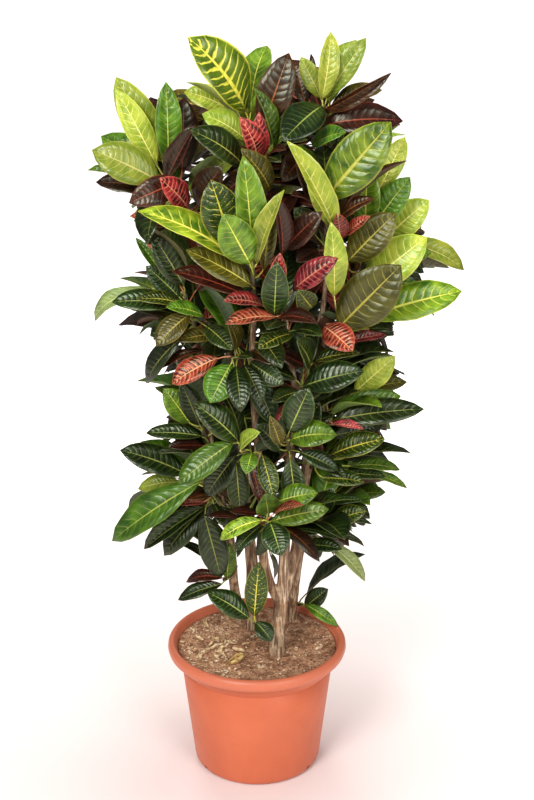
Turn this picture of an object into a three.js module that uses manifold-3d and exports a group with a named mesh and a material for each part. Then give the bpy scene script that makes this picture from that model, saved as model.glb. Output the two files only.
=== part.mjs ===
// A potted croton: several woody cuttings grown up together in one terracotta-coloured nursery pot,
// each one branching into limbs, and every limb carrying leafy shoots from the soil to the crown.
//
// Millimetres, +Z up. The origin is the middle of the pot's flat underside. +X is the viewer's right and
// -Y faces the viewer, so a "front" value is a distance from the pot's axis towards the viewer.
import * as THREE from "three";
import { mergeVertices } from "three/addons/utils/BufferGeometryUtils.js";
import Module from "manifold-3d";

const wasm = await Module();
wasm.setup();

// ---- Driving dimensions ------------------------------------------------------------------------------

const POT_RIM_RADIUS = 165; // outside of the rolled rim
const POT_HEIGHT = 245;
const POT_WALL = 3;
const POT_SIDES = 32;
const DRAIN_HOLE_RADIUS = 4;
const DRAIN_HOLE_HEIGHT = 8;
const DRAIN_HOLE_TURNS = [54, 126, 234, 306]; // degrees round from the front
const SOIL_EDGE = 224; // height of the soil at the pot's wall
const SOIL_TOP = 230; // and in the middle
const ROOT_DEPTH = 70; // how far a trunk goes down into the soil
const SEAT_GAP = 0.5; // round a piece that rests in another
const LEAF_GAP = 0.6; // between a leaf and anything that isn't its own shoot
const LIMB_SIDES = 6;
const TWIG_RADII = [3.8, 3.2];
const STALK = 1.2; // half the thickness of a leaf's stalk
const BLADE = [
  // where the blade is measured, its half width there as a share of the widest, and half its thickness
  { share: 0.3, half: 0.88, depth: 1.9 },
  { share: 0.7, half: 0.9, depth: 1.4 },
];
const TWIG_SIDES = 4;
const TWIG_STEPS = 2;
const ROOT_STEP = 6; // along the twig from one leaf's root to the next, where they would share a place

// The place that the plant was measured from: a lens 1516 mm up and 2310 mm in front of the pot, tilted
// down, so that a pixel of the 534 x 800 picture and a front value give one point of the plant.
const EYE = { aside: 18.6, away: 2310, up: 1516, tilt: 19.23, focal: 1400, middle: [267, 400] };

// ---- Leaf kinds: a colour for each, in sRGB --------------------------------------------------------------

const KIND_COLOURS = {
  LIME: "#9dba3a",
  GREEN: "#4f8a24",
  DEEP: "#23421f",
  VEINED: "#5d7a22",
  BRONZE: "#33201b",
  OLIVE: "#5a5220",
  CORAL: "#c2452f",
};
const { LIME, GREEN, DEEP, VEINED, BRONZE, OLIVE, CORAL } = Object.fromEntries(
  Object.keys(KIND_COLOURS).map((kind) => [kind, kind]),
);

// ---- The woody frame ---------------------------------------------------------------------------------
// Each trunk is a list of limbs. A limb's points are [pixel across, pixel down, front], its radii run from
// its first point to its last, and the first limb of a trunk starts in the soil.

const TRUNKS = [
  {
    name: "trunk_front",
    limbs: [
      { radii: [17, 13], path: [[277, 652, 34], [278, 628, 30], [281, 603, 24]] },
      {
        radii: [10, 5],
        path: [[281, 606, 24], [267, 575, 33], [262, 540, 41], [262, 500, 50], [258, 455, 57],
          [254, 400, 66], [252, 350, 74], [255, 310, 82]],
      },
      {
        radii: [11, 7],
        path: [[281, 606, 24], [284, 560, 29], [287, 500, 43], [290, 450, 57], [296, 392, 63]],
      },
      {
        radii: [6.5, 4],
        path: [[296, 394, 63], [289, 350, 59], [280, 290, 36], [266, 235, 30], [256, 190, 33]],
      },
      { radii: [6.5, 4], path: [[296, 394, 63], [312, 352, 53], [322, 310, 45], [328, 262, 50]] },
      {
        radii: [10, 4.5],
        path: [[281, 606, 24], [291, 570, 8], [298, 530, 2], [306, 480, 8], [315, 440, 16],
          [326, 400, 16], [334, 350, 0], [345, 300, -12]],
      },
    ],
  },
  {
    name: "trunk_right",
    limbs: [
      {
        radii: [11, 4.5],
        path: [[292, 619, -92], [295, 580, -70], [301, 540, -62], [304, 480, -75], [312, 420, -80],
          [322, 350, -78], [330, 280, -65], [334, 210, -44]],
      },
    ],
  },
  {
    name: "trunk_left",
    limbs: [
      {
        radii: [11, 4.5],
        path: [[240, 619, -92], [234, 585, -66], [231, 545, -32], [222, 500, 0], [212, 450, 16],
          [205, 400, 16], [200, 350, 16]],
      },
    ],
  },
  {
    name: "trunk_back",
    limbs: [
      {
        radii: [14, 5],
        path: [[252, 627, -60], [252, 565, -77], [247, 520, -93], [243, 460, -114], [236, 400, -112],
          [226, 330, -92], [210, 270, -65], [190, 222, -38]],
      },
      { radii: [7, 4.5], path: [[243, 462, -114], [255, 400, -140], [264, 330, -152], [264, 250, -144]] },
    ],
  },
];

// ---- The leafy shoots --------------------------------------------------------------------------------
// path: the shoot's stem, from the limb that it grows on to its growing tip, as [across, down, front].
// leaves: those that the viewer sees, each
//   [base across, down, front, tip across, down, front, width, fold, sky, turn, bow, kind]
//   width is a share of the length, fold is how far each half is folded up from flat, sky turns the upper
//   face from the viewer (0) to the sky (90), turn turns it about the leaf's own line, all in degrees,
//   and bow is how far the leaf arches, as a share of its length.
// around: leaves set round the stem by the spiral rule further down, as {count, from, to}: how many, and
//   the compass sector that they fill, in degrees, where 0 is +X and 90 is away from the viewer.

const SHOOTS = [
  {
    name: "shoot_crown_left",
    path: [[256, 192, 33], [252, 152, 43], [248, 120, 46]],
    around: { count: 4, from: 10, to: 200, kinds: [GREEN, BRONZE, LIME] },
    leaves: [
      [246, 112, 46, 188, 37, 99, 0.55, 18, 25, 15, 0.1, VEINED],
      [262, 130, 50, 289, 53, 50, 0.46, 15, 5, 0, 0.06, BRONZE],
      [232, 112, 8, 184, 92, 16, 0.55, 15, 35, 0, 0.12, LIME],
      [246, 140, 63, 202, 114, 82, 0.58, 12, 30, 0, 0.12, LIME],
      [249, 138, 36, 217, 90, 25, 0.4, 20, 20, 10, 0.08, DEEP],
      [256, 160, 66, 240, 117, 129, 0.42, 25, 30, 0, 0.12, CORAL],
      [260, 158, 69, 259, 112, 132, 0.38, 25, 25, 0, 0.12, CORAL],
      [274, 150, 66, 254, 88, 91, 0.36, 42, 10, 30, 0.05, GREEN],
      [250, 104, -25, 264, 66, -62, 0.45, 20, 20, 0, 0.08, DEEP],
      [244, 166, 82, 190, 130, 124, 0.5, 15, 35, 0, 0.1, DEEP],
      [270, 190, 82, 241, 149, 140, 0.4, 22, 30, -10, 0.1, OLIVE],
      [250, 172, 50, 219, 200, 82, 0.5, 16, 30, 0, 0.08, BRONZE],
      [254, 130, 16, 230, 62, 0, 0.45, 18, 5, 0, 0.05, LIME],
    ],
  },
  {
    name: "shoot_crown_right",
    path: [[334, 212, -44], [329, 155, -28], [324, 108, -15]],
    around: { count: 4, from: 0, to: 180, kinds: [LIME, GREEN, BRONZE] },
    leaves: [
      [321, 98, -6, 301, 57, 0, 0.45, 20, 10, 0, 0.05, LIME],
      [322, 100, 0, 331, 32, -12, 0.36, 30, 5, 0, 0.08, LIME],
      [326, 98, -15, 366, 38, -6, 0.36, 25, 10, 0, 0.06, LIME],
      [330, 108, -25, 382, 90, -12, 0.45, 20, 45, 0, 0.1, OLIVE],
      [323, 112, 8, 391, 73, 50, 0.34, 58, 20, 35, 0.04, BRONZE],
      [322, 106, 25, 283, 141, 99, 0.6, 12, 30, 0, 0.08, DEEP],
      [312, 146, 33, 346, 132, 82, 0.5, 18, 35, 0, 0.08, GREEN],
      [320, 126, 8, 403, 121, 8, 0.42, 18, 25, 0, 0.12, BRONZE],
      [306, 108, -25, 295, 62, -50, 0.38, 20, 5, 0, 0.05, BRONZE],
      [308, 100, -19, 311, 54, -31, 0.34, 55, 0, 20, 0.05, BRONZE],
      [312, 148, 0, 282, 182, 41, 0.55, 15, 25, 0, 0.08, BRONZE],
      [338, 150, 0, 360, 96, 8, 0.42, 18, 10, 0, 0.05, GREEN],
    ],
  },
  {
    name: "shoot_right_crown",
    path: [[328, 264, 50], [328, 232, 69], [324, 205, 82]],
    around: { count: 3, from: 10, to: 170, kinds: [BRONZE, DEEP, GREEN] },
    leaves: [
      [324, 200, 91, 391, 122, 99, 0.5, 14, 5, 0, 0.05, GREEN],
      [335, 230, 99, 287, 141, 140, 0.32, 48, 0, 25, 0.06, LIME],
      [336, 228, 99, 308, 166, 162, 0.36, 28, 10, 0, 0.05, LIME],
      [318, 205, 74, 296, 150, 116, 0.45, 20, 20, 0, 0.08, BRONZE],
      [334, 222, 74, 374, 198, 99, 0.38, 20, 40, 0, 0.1, BRONZE],
      [344, 236, 74, 370, 216, 102, 0.36, 28, 30, 0, 0.05, CORAL],
      [340, 240, 79, 337, 213, 116, 0.5, 20, 20, 0, 0.05, CORAL],
      [316, 236, 66, 294, 208, 102, 0.55, 16, 15, 0, 0.06, DEEP],
      [318, 250, 69, 296, 262, 109, 0.55, 16, 30, 0, 0.08, BRONZE],
    ],
  },
  {
    name: "shoot_right_upper",
    path: [[345, 302, -12], [362, 268, -6], [374, 235, 0]],
    around: { count: 4, from: -10, to: 170, kinds: [GREEN, LIME, OLIVE] },
    leaves: [
      [373, 226, 20, 410, 177, 33, 0.5, 15, 10, 0, 0.06, GREEN],
      [384, 240, 0, 429, 200, 8, 0.58, 14, 15, 0, 0.08, LIME],
      [347, 262, 50, 396, 213, 63, 0.55, 14, 10, 0, 0.06, OLIVE],
      [364, 288, 20, 427, 237, 33, 0.55, 16, 15, 0, 0.06, LIME],
      [402, 243, -25, 464, 270, -19, 0.38, 22, 40, 0, 0.14, LIME],
      [378, 192, -31, 405, 137, -44, 0.42, 15, 5, 0, 0.05, LIME],
      [372, 222, -19, 396, 180, -38, 0.42, 18, 15, 0, 0.06, OLIVE],
      [366, 230, 16, 368, 166, 25, 0.5, 16, 10, 0, 0.05, GREEN],
      [372, 262, 0, 432, 252, -6, 0.42, 18, 35, 0, 0.08, GREEN],
    ],
  },
  {
    name: "shoot_right_mid",
    path: [[334, 352, 0], [338, 336, 41], [342, 322, 63]],
    around: { count: 3, from: -30, to: 150, kinds: [OLIVE, GREEN, CORAL] },
    leaves: [
      [338, 328, 82, 401, 265, 106, 0.58, 14, 0, 0, 0.05, OLIVE],
      [362, 318, 25, 462, 291, 8, 0.38, 16, 20, 0, 0.06, GREEN],
      [344, 336, 25, 410, 314, 8, 0.34, 35, 60, 0, 0.08, OLIVE],
      [324, 326, 91, 353, 351, 140, 0.7, 15, 25, 0, 0.06, CORAL],
      [346, 342, 50, 386, 335, 41, 0.36, 30, 40, 0, 0.06, CORAL],
      [342, 344, 33, 373, 366, 25, 0.42, 20, 30, 0, 0.08, DEEP],
      [334, 296, 96, 331, 222, 145, 0.32, 28, 0, 15, 0.06, LIME],
    ],
  },
  {
    name: "shoot_centre",
    path: [[289, 352, 59], [285, 328, 102], [284, 306, 129]],
    around: { count: 3, from: 20, to: 160, kinds: [BRONZE, DEEP] },
    leaves: [
      [293, 290, 145, 338, 258, 178, 0.44, 18, 20, 0, 0.08, CORAL],
      [274, 316, 140, 277, 262, 178, 0.46, 25, 10, 0, 0.05, DEEP],
      [312, 308, 132, 298, 290, 173, 0.6, 20, 20, 0, 0.05, VEINED],
      [277, 317, 145, 225, 324, 178, 0.38, 20, 55, 0, 0.08, CORAL],
      [264, 306, 132, 223, 301, 168, 0.42, 25, 45, 0, 0.1, CORAL],
      [272, 292, 140, 280, 253, 178, 0.42, 32, 20, 20, 0.05, CORAL],
      [278, 318, 140, 317, 323, 172, 0.45, 18, 50, 0, 0.12, BRONZE],
      [292, 334, 102, 258, 349, 152, 0.5, 18, 45, 0, 0.1, VEINED],
      [296, 330, 102, 322, 336, 152, 0.5, 18, 45, 0, 0.1, DEEP],
    ],
  },
  {
    name: "shoot_centre_left",
    path: [[255, 312, 82], [254, 286, 129], [253, 262, 148]],
    around: { count: 3, from: 30, to: 200, kinds: [BRONZE, DEEP, OLIVE] },
    leaves: [
      [232, 246, 152, 211, 180, 173, 0.6, 14, 5, 0, 0.05, VEINED],
      [252, 262, 162, 243, 156, 185, 0.34, 32, 0, 15, 0.05, GREEN],
      [250, 264, 173, 223, 214, 211, 0.58, 10, 0, 0, 0.05, GREEN],
      [257, 264, 165, 284, 190, 195, 0.34, 50, 0, -25, 0.08, LIME],
      [264, 270, 148, 272, 200, 162, 0.32, 42, 0, 0, 0.05, OLIVE],
      [240, 262, 157, 138, 211, 145, 0.42, 14, 30, 0, 0.08, LIME],
      [252, 286, 140, 186, 250, 152, 0.42, 14, 35, 0, 0.06, OLIVE],
      [246, 296, 124, 172, 271, 119, 0.36, 20, 50, 0, 0.06, BRONZE],
      [282, 256, 132, 276, 197, 173, 0.34, 32, 5, 10, 0.05, BRONZE],
      [284, 250, 119, 322, 212, 148, 0.45, 15, 20, 0, 0.06, BRONZE],
    ],
  },
  {
    name: "shoot_left_upper",
    path: [[190, 224, -38], [178, 200, -15], [168, 180, 0]],
    around: { count: 4, from: 30, to: 210, kinds: [LIME, GREEN, BRONZE] },
    leaves: [
      [163, 162, -6, 116, 77, -6, 0.4, 16, 5, 0, 0.05, LIME],
      [157, 166, 8, 117, 90, 20, 0.34, 22, 10, 0, 0.04, LIME],
      [168, 165, 30, 166, 82, 36, 0.36, 24, 0, 10, 0.04, GREEN],
      [160, 182, 33, 92, 150, 40, 0.55, 14, 20, 0, 0.08, LIME],
      [160, 176, 0, 101, 136, -15, 0.5, 14, 25, 0, 0.1, GREEN],
      [158, 190, 8, 96, 182, 0, 0.42, 18, 35, 0, 0.06, BRONZE],
      [152, 184, -19, 88, 170, -35, 0.32, 50, 30, 20, 0.04, GREEN],
      [182, 172, -25, 184, 97, -38, 0.45, 14, 5, 0, 0.05, BRONZE],
      [166, 182, 50, 196, 125, 91, 0.36, 40, 10, -20, 0.05, BRONZE],
      [182, 180, 66, 129, 203, 99, 0.5, 14, 40, 0, 0.1, BRONZE],
      [188, 208, 66, 160, 178, 129, 0.48, 18, 20, 0, 0.05, CORAL],
      [168, 226, 25, 130, 216, 50, 0.45, 20, 40, 0, 0.08, CORAL],
      [198, 206, 41, 222, 166, 102, 0.5, 15, 20, 0, 0.06, BRONZE],
    ],
  },
  {
    name: "shoot_left_mid",
    path: [[200, 352, 16], [194, 324, 46], [184, 292, 59]],
    around: { count: 3, from: 60, to: 230, kinds: [DEEP, GREEN, OLIVE] },
    leaves: [
      [152, 288, 41, 95, 321, 16, 0.28, 25, 30, 0, 0.28, GREEN],
      [175, 305, 58, 112, 302, 58, 0.42, 16, 35, 0, 0.08, DEEP],
      [180, 303, 82, 137, 299, 99, 0.42, 16, 45, 0, 0.08, VEINED],
      [204, 316, 99, 166, 307, 135, 0.44, 16, 45, 0, 0.08, GREEN],
      [180, 298, 50, 146, 266, 50, 0.52, 14, 20, 0, 0.05, DEEP],
      [184, 286, 74, 153, 234, 79, 0.48, 16, 10, 0, 0.05, DEEP],
      [164, 276, 16, 136, 238, 8, 0.34, 48, 10, 0, 0.06, GREEN],
      [190, 314, 102, 156, 346, 129, 0.55, 14, 30, 0, 0.1, OLIVE],
      [206, 335, 79, 165, 340, 102, 0.34, 36, 50, 0, 0.06, CORAL],
      [222, 334, 91, 177, 341, 122, 0.42, 16, 45, 0, 0.06, OLIVE],
      [204, 350, 33, 162, 368, 25, 0.32, 32, 60, 0, 0.06, BRONZE],
      [188, 318, 58, 150, 336, 58, 0.55, 16, 35, 0, 0.08, DEEP],
      [196, 290, 66, 224, 262, 86, 0.5, 16, 25, 0, 0.06, BRONZE],
      [206, 326, 82, 232, 350, 119, 0.5, 16, 30, 0, 0.06, DEEP],
    ],
  },
  {
    name: "shoot_middle_left",
    path: [[252, 352, 74], [240, 357, 99], [232, 358, 112]],
    around: { count: 3, from: 30, to: 230, kinds: [DEEP, GREEN] },
    leaves: [
      [231, 364, 112, 210, 403, 152, 0.75, 10, 20, 0, 0.06, GREEN],
      [236, 366, 112, 241, 412, 162, 0.5, 15, 30, 0, 0.12, DEEP],
      [244, 364, 99, 262, 403, 145, 0.5, 15, 20, 0, 0.1, DEEP],
      [250, 362, 96, 284, 384, 135, 0.55, 15, 30, 0, 0.08, DEEP],
      [252, 372, 86, 274, 424, 109, 0.46, 16, 15, 0, 0.06, DEEP],
      [218, 358, 82, 172, 384, 91, 0.5, 16, 35, 0, 0.08, CORAL],
      [236, 350, 102, 228, 322, 148, 0.4, 20, 20, 0, 0.08, OLIVE],
    ],
  },
  {
    name: "shoot_middle_right",
    path: [[296, 396, 63], [300, 392, 82], [304, 386, 96]],
    around: { count: 3, from: -40, to: 140, kinds: [DEEP] },
    leaves: [
      [303, 386, 106, 364, 371, 135, 0.5, 12, 20, 0, 0.08, DEEP],
      [312, 362, 82, 360, 353, 112, 0.36, 22, 50, 0, 0.06, VEINED],
      [310, 366, 79, 297, 341, 125, 0.6, 15, 30, 0, 0.06, DEEP],
      [300, 392, 99, 272, 402, 148, 0.45, 18, 35, 0, 0.08, DEEP],
      [304, 366, 86, 276, 352, 106, 0.5, 16, 30, 0, 0.06, BRONZE],
      [312, 400, 79, 338, 382, 86, 0.5, 16, 20, 0, 0.06, DEEP],
    ],
  },
  {
    name: "shoot_left_low",
    path: [[212, 452, 16], [207, 440, 33], [202, 424, 40]],
    around: { count: 3, from: 70, to: 240, kinds: [DEEP, GREEN, DEEP] },
    leaves: [
      [190, 424, 33, 164, 388, 33, 0.55, 12, 15, 0, 0.05, GREEN],
      [200, 426, 43, 181, 382, 53, 0.42, 16, 5, 0, 0.05, DEEP],
      [202, 436, 46, 146, 433, 43, 0.36, 20, 40, 0, 0.06, DEEP],
      [204, 446, 43, 168, 447, 69, 0.4, 20, 45, 0, 0.06, BRONZE],
    ],
  },
  {
    name: "shoot_front_left",
    path: [[258, 458, 57], [247, 452, 98], [238, 446, 122]],
    around: { count: 2, from: 60, to: 240, kinds: [DEEP] },
    leaves: [
      [238, 441, 129, 194, 403, 145, 0.52, 14, 30, 0, 0.08, DEEP],
      [233, 442, 135, 178, 484, 158, 0.42, 14, 20, 0, 0.08, GREEN],
      [240, 450, 138, 260, 432, 172, 0.5, 22, 40, 0, 0.1, LIME],
      [252, 452, 125, 246, 474, 163, 0.65, 15, 30, 0, 0.08, GREEN],
      [250, 460, 94, 262, 503, 118, 0.36, 30, 20, 0, 0.05, BRONZE],
      [262, 454, 98, 274, 498, 132, 0.45, 15, 10, 0, 0.05, VEINED],
      [236, 455, 90, 206, 496, 95, 0.5, 15, 20, 0, 0.08, DEEP],
      [236, 462, 81, 240, 510, 84, 0.46, 16, 10, 0, 0.06, DEEP],
    ],
  },
  {
    name: "shoot_left_base",
    path: [[222, 502, 0], [211, 491, 30], [201, 481, 52]],
    around: { count: 4, from: 80, to: 260, kinds: [DEEP, GREEN, DEEP] },
    leaves: [
      [186, 474, 63, 120, 450, 79, 0.46, 14, 30, 0, 0.08, DEEP],
      [200, 482, 92, 112, 541, 67, 0.32, 18, 30, 0, 0.06, GREEN],
      [180, 482, 34, 138, 489, 33, 0.45, 16, 35, 0, 0.1, LIME],
      [205, 506, 35, 144, 549, 34, 0.34, 45, 30, 0, 0.05, DEEP],
      [204, 502, 63, 176, 504, 84, 0.4, 28, 40, 0, 0.05, CORAL],
      [204, 514, 51, 221, 578, 59, 0.42, 14, 10, 0, 0.04, DEEP],
      [214, 494, 52, 190, 500, 108, 0.4, 20, 45, 0, 0.08, BRONZE],
    ],
  },
  {
    name: "shoot_front_low",
    path: [[262, 542, 40], [264, 530, 84], [267, 521, 118]],
    around: { count: 2, from: -20, to: 200, kinds: [DEEP] },
    leaves: [
      [262, 520, 127, 220, 540, 131, 0.38, 18, 30, 0, 0.2, LIME],
      [271, 521, 126, 329, 509, 139, 0.42, 14, 25, 0, 0.05, GREEN],
      [270, 522, 125, 281, 556, 163, 0.75, 12, 35, 0, 0.08, DEEP],
      [262, 525, 113, 236, 550, 131, 0.5, 16, 40, 0, 0.1, DEEP],
      [268, 514, 117, 265, 494, 163, 0.6, 10, 20, 0, 0.05, GREEN],
      [273, 514, 112, 303, 505, 145, 0.36, 26, 50, 0, 0.05, CORAL],
      [276, 502, 110, 318, 493, 135, 0.55, 12, 20, 0, 0.1, GREEN],
      [258, 514, 96, 230, 512, 121, 0.4, 20, 50, 0, 0.06, BRONZE],
    ],
  },
  {
    name: "shoot_front_mid",
    path: [[290, 453, 57], [288, 445, 99], [287, 437, 132]],
    around: { count: 2, from: -20, to: 160, kinds: [DEEP] },
    leaves: [
      [289, 432, 142, 309, 388, 162, 0.58, 12, 0, 0, 0.05, DEEP],
      [290, 440, 142, 337, 435, 168, 0.6, 14, 30, 0, 0.14, GREEN],
      [280, 444, 132, 270, 416, 168, 0.4, 38, 10, 0, 0.05, OLIVE],
      [296, 442, 102, 320, 402, 122, 0.5, 15, 10, 0, 0.06, DEEP],
      [280, 450, 102, 256, 424, 139, 0.45, 18, 20, 0, 0.08, DEEP],
      [290, 458, 88, 296, 506, 94, 0.5, 16, 15, 0, 0.06, DEEP],
      [300, 452, 92, 338, 470, 101, 0.46, 16, 30, 0, 0.06, DEEP],
    ],
  },
  {
    name: "shoot_right_middle",
    path: [[320, 426, 16], [325, 420, 41], [330, 412, 56]],
    around: { count: 3, from: -60, to: 130, kinds: [GREEN, DEEP, OLIVE] },
    leaves: [
      [332, 420, 66, 424, 409, 73, 0.32, 14, 25, 0, 0.06, VEINED],
      [332, 407, 56, 401, 396, 36, 0.36, 16, 30, 0, 0.08, GREEN],
      [346, 396, 23, 407, 382, 8, 0.36, 18, 40, 0, 0.08, OLIVE],
      [354, 392, 33, 395, 356, 30, 0.5, 14, 10, 0, 0.05, LIME],
      [350, 424, 25, 405, 413, 16, 0.32, 20, 35, 0, 0.06, GREEN],
      [332, 424, 74, 363, 429, 92, 0.36, 40, 45, 0, 0.05, CORAL],
      [332, 436, 50, 378, 426, 36, 0.4, 18, 40, 0, 0.08, DEEP],
    ],
  },
  {
    name: "shoot_right_low",
    path: [[309, 468, 10], [316, 464, 32], [324, 458, 49]],
    around: { count: 3, from: -70, to: 120, kinds: [DEEP, GREEN, VEINED] },
    leaves: [
      [330, 455, 62, 385, 439, 69, 0.48, 16, 30, 0, 0.08, VEINED],
      [322, 478, 59, 364, 482, 73, 0.45, 16, 40, 0, 0.06, VEINED],
      [350, 466, 29, 400, 470, 24, 0.34, 20, 50, 0, 0.1, GREEN],
      [342, 474, 23, 386, 477, 16, 0.36, 20, 45, 0, 0.06, DEEP],
      [358, 472, 13, 407, 488, 3, 0.22, 28, 40, 0, 0.1, GREEN],
      [322, 462, 58, 346, 478, 102, 0.45, 15, 30, 0, 0.1, DEEP],
      [314, 460, 49, 306, 430, 99, 0.45, 18, 15, 0, 0.06, BRONZE],
    ],
  },
  {
    name: "shoot_right_base",
    path: [[299, 528, 2], [310, 524, 25], [321, 521, 41]],
    around: { count: 3, from: -70, to: 110, kinds: [DEEP, VEINED, GREEN] },
    leaves: [
      [330, 523, 51, 366, 511, 70, 0.54, 14, 30, 0, 0.08, VEINED],
      [326, 502, 28, 362, 500, 37, 0.36, 18, 45, 0, 0.06, DEEP],
      [320, 514, 43, 334, 488, 66, 0.52, 15, 20, 0, 0.06, DEEP],
      [302, 545, 46, 342, 549, 60, 0.42, 16, 40, 0, 0.08, DEEP],
      [322, 540, 35, 365, 581, 38, 0.28, 28, 40, 0, 0.14, GREEN],
      [324, 531, 20, 364, 546, 6, 0.24, 40, 50, 0, 0.08, DEEP],
      [330, 520, 6, 372, 524, -11, 0.24, 40, 50, 0, 0.06, DEEP],
      [318, 526, 45, 339, 535, 72, 0.5, 15, 45, 0, 0.08, OLIVE],
    ],
  },
  {
    name: "shoot_foot_left",
    path: [[236, 566, -49], [230, 576, -15], [224, 580, 5]],
    around: { count: 2, from: 110, to: 260, kinds: [DEEP, DEEP, GREEN] },
    leaves: [
      [222, 584, 12, 178, 600, 16, 0.38, 16, 40, 0, 0.08, DEEP],
      [222, 578, 0, 186, 582, -8, 0.44, 16, 45, 0, 0.2, BRONZE],
      [227, 578, 18, 230, 543, 30, 0.4, 20, 5, 0, 0.05, GREEN],
      [216, 566, -5, 174, 541, -11, 0.24, 36, 50, 0, 0.12, DEEP],
    ],
  },
  {
    name: "shoot_foot_front",
    path: [[276, 642, 32], [263, 632, 48], [254, 622, 56]],
    around: { count: 0, from: 0, to: 90, kinds: [DEEP] },
    leaves: [
      [249, 618, 62, 207, 592, 64, 0.52, 14, 30, 0, 0.08, DEEP],
      [254, 616, 64, 259, 562, 68, 0.4, 16, 5, 0, 0.05, VEINED],
      [256, 622, 64, 272, 641, 90, 0.75, 12, 35, 0, 0.06, DEEP],
    ],
  },
  {
    name: "shoot_foot_right",
    path: [[293, 600, -104], [298, 604, -92], [302, 604, -84]],
    around: { count: 1, from: 0, to: 90, kinds: [DEEP, GREEN] },
    leaves: [
      [305, 607, -76, 328, 589, -66, 0.6, 14, 15, 0, 0.05, DEEP],
      [305, 604, -78, 338, 626, -52, 0.32, 22, 45, 0, 0.08, GREEN],
    ],
  },
  // The side that the viewer doesn't see, by the spiral rule alone.
  {
    name: "shoot_back_crown_left",
    path: [[264, 252, -144], [250, 200, -140], [240, 140, -125]],
    around: { count: 8, from: 0, to: 360, kinds: [LIME, BRONZE, GREEN, VEINED] },
    leaves: [],
  },
  {
    name: "shoot_back_crown_right",
    path: [[331, 272, -64], [338, 220, -112], [342, 165, -138]],
    around: { count: 8, from: 0, to: 360, kinds: [LIME, GREEN, BRONZE, LIME] },
    leaves: [],
  },
  {
    name: "shoot_back_upper_left",
    path: [[226, 332, -92], [208, 300, -131], [196, 262, -150]],
    around: { count: 8, from: 0, to: 360, kinds: [GREEN, BRONZE, OLIVE, CORAL] },
    leaves: [],
  },
  {
    name: "shoot_back_upper_right",
    path: [[322, 352, -78], [342, 318, -119], [356, 280, -140]],
    around: { count: 8, from: 0, to: 360, kinds: [GREEN, OLIVE, LIME, CORAL] },
    leaves: [],
  },
  {
    name: "shoot_back_middle",
    path: [[261, 352, -150], [272, 310, -178], [284, 272, -188]],
    around: { count: 8, from: 0, to: 360, kinds: [BRONZE, GREEN, OLIVE, DEEP] },
    leaves: [],
  },
  {
    name: "shoot_back_low_left",
    path: [[240, 432, -114], [222, 408, -144], [212, 380, -158]],
    around: { count: 8, from: 0, to: 360, kinds: [DEEP, GREEN, DEEP, VEINED] },
    leaves: [],
  },
  {
    name: "shoot_back_low_right",
    path: [[312, 422, -80], [332, 402, -120], [344, 374, -140]],
    around: { count: 8, from: 0, to: 360, kinds: [DEEP, VEINED, GREEN, DEEP] },
    leaves: [],
  },
  {
    name: "shoot_back_foot_left",
    path: [[248, 528, -91], [234, 512, -127], [226, 488, -148]],
    around: { count: 8, from: 0, to: 360, kinds: [DEEP, GREEN, VEINED] },
    leaves: [],
  },
  {
    name: "shoot_back_foot_right",
    path: [[302, 528, -63], [316, 514, -104], [326, 488, -128]],
    around: { count: 8, from: 0, to: 360, kinds: [DEEP, DEEP, GREEN] },
    leaves: [],
  },
];

// ---- Points and directions -----------------------------------------------------------------------------

const DEGREE = Math.PI / 180;
const ACROSS = new THREE.Vector3(1, 0, 0);
const UP = new THREE.Vector3(0, 0, 1);
const eye = new THREE.Vector3(EYE.aside, -EYE.away, EYE.up);

/** The point of the plant that is seen at a pixel, a given distance in front of the pot's axis. */
function seen([across, down, front]) {
  const tilt = EYE.tilt * DEGREE;
  const right = (across - EYE.middle[0]) / EYE.focal;
  const rise = (EYE.middle[1] - down) / EYE.focal;
  const ray = new THREE.Vector3(
    right,
    Math.cos(tilt) + rise * Math.sin(tilt),
    -Math.sin(tilt) + rise * Math.cos(tilt),
  );
  return ray.multiplyScalar((EYE.away - front) / ray.y).add(eye);
}

/** The part of a direction that is square to another one, at unit length. */
function squareTo(direction, line) {
  return direction.clone().addScaledVector(line, -direction.dot(line)).normalize();
}

/** A smooth line through points. */
function curveThrough(points) {
  return new THREE.CatmullRomCurve3(points, false, "centripetal");
}

/** Seeded draws between 0 and 1, the same on every run. */
function draws(seed) {
  let state = seed;
  return () => {
    state = (1664525 * state + 1013904223) % 4294967296;
    return state / 4294967296;
  };
}

const mix = (from, to, share) => from + (to - from) * share;

// ---- Solids ----------------------------------------------------------------------------------------------

/** A closed geometry as a solid that can be joined and cut, its seams closed. */
function solidOf(geometry) {
  const plain = geometry.clone();
  plain.deleteAttribute("normal");
  plain.deleteAttribute("uv");
  const merged = mergeVertices(plain, 1e-4);
  const corners = merged.index.array;
  const kept = [];
  for (let i = 0; i < corners.length; i += 3) {
    const [a, b, c] = corners.slice(i, i + 3);
    if (a !== b && b !== c && c !== a) {
      kept.push(a, b, c);
    }
  }
  const mesh = new wasm.Mesh({
    numProp: 3,
    vertProperties: merged.attributes.position.array,
    triVerts: new Uint32Array(kept),
  });
  return new wasm.Manifold(mesh);
}

/** A solid as a geometry again. */
function geometryOf(solid) {
  const mesh = solid.getMesh();
  const geometry = new THREE.BufferGeometry();
  geometry.setAttribute("position", new THREE.BufferAttribute(mesh.vertProperties, 3));
  geometry.setIndex(new THREE.BufferAttribute(mesh.triVerts, 1));
  return geometry;
}

/** A solid turned round the Z axis from an outline of [radius, height] points. */
function turned(outline, sides) {
  const points = outline.map(([radius, height]) => new THREE.Vector2(radius, height));
  return new THREE.LatheGeometry(points, sides).rotateX(Math.PI / 2);
}

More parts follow.
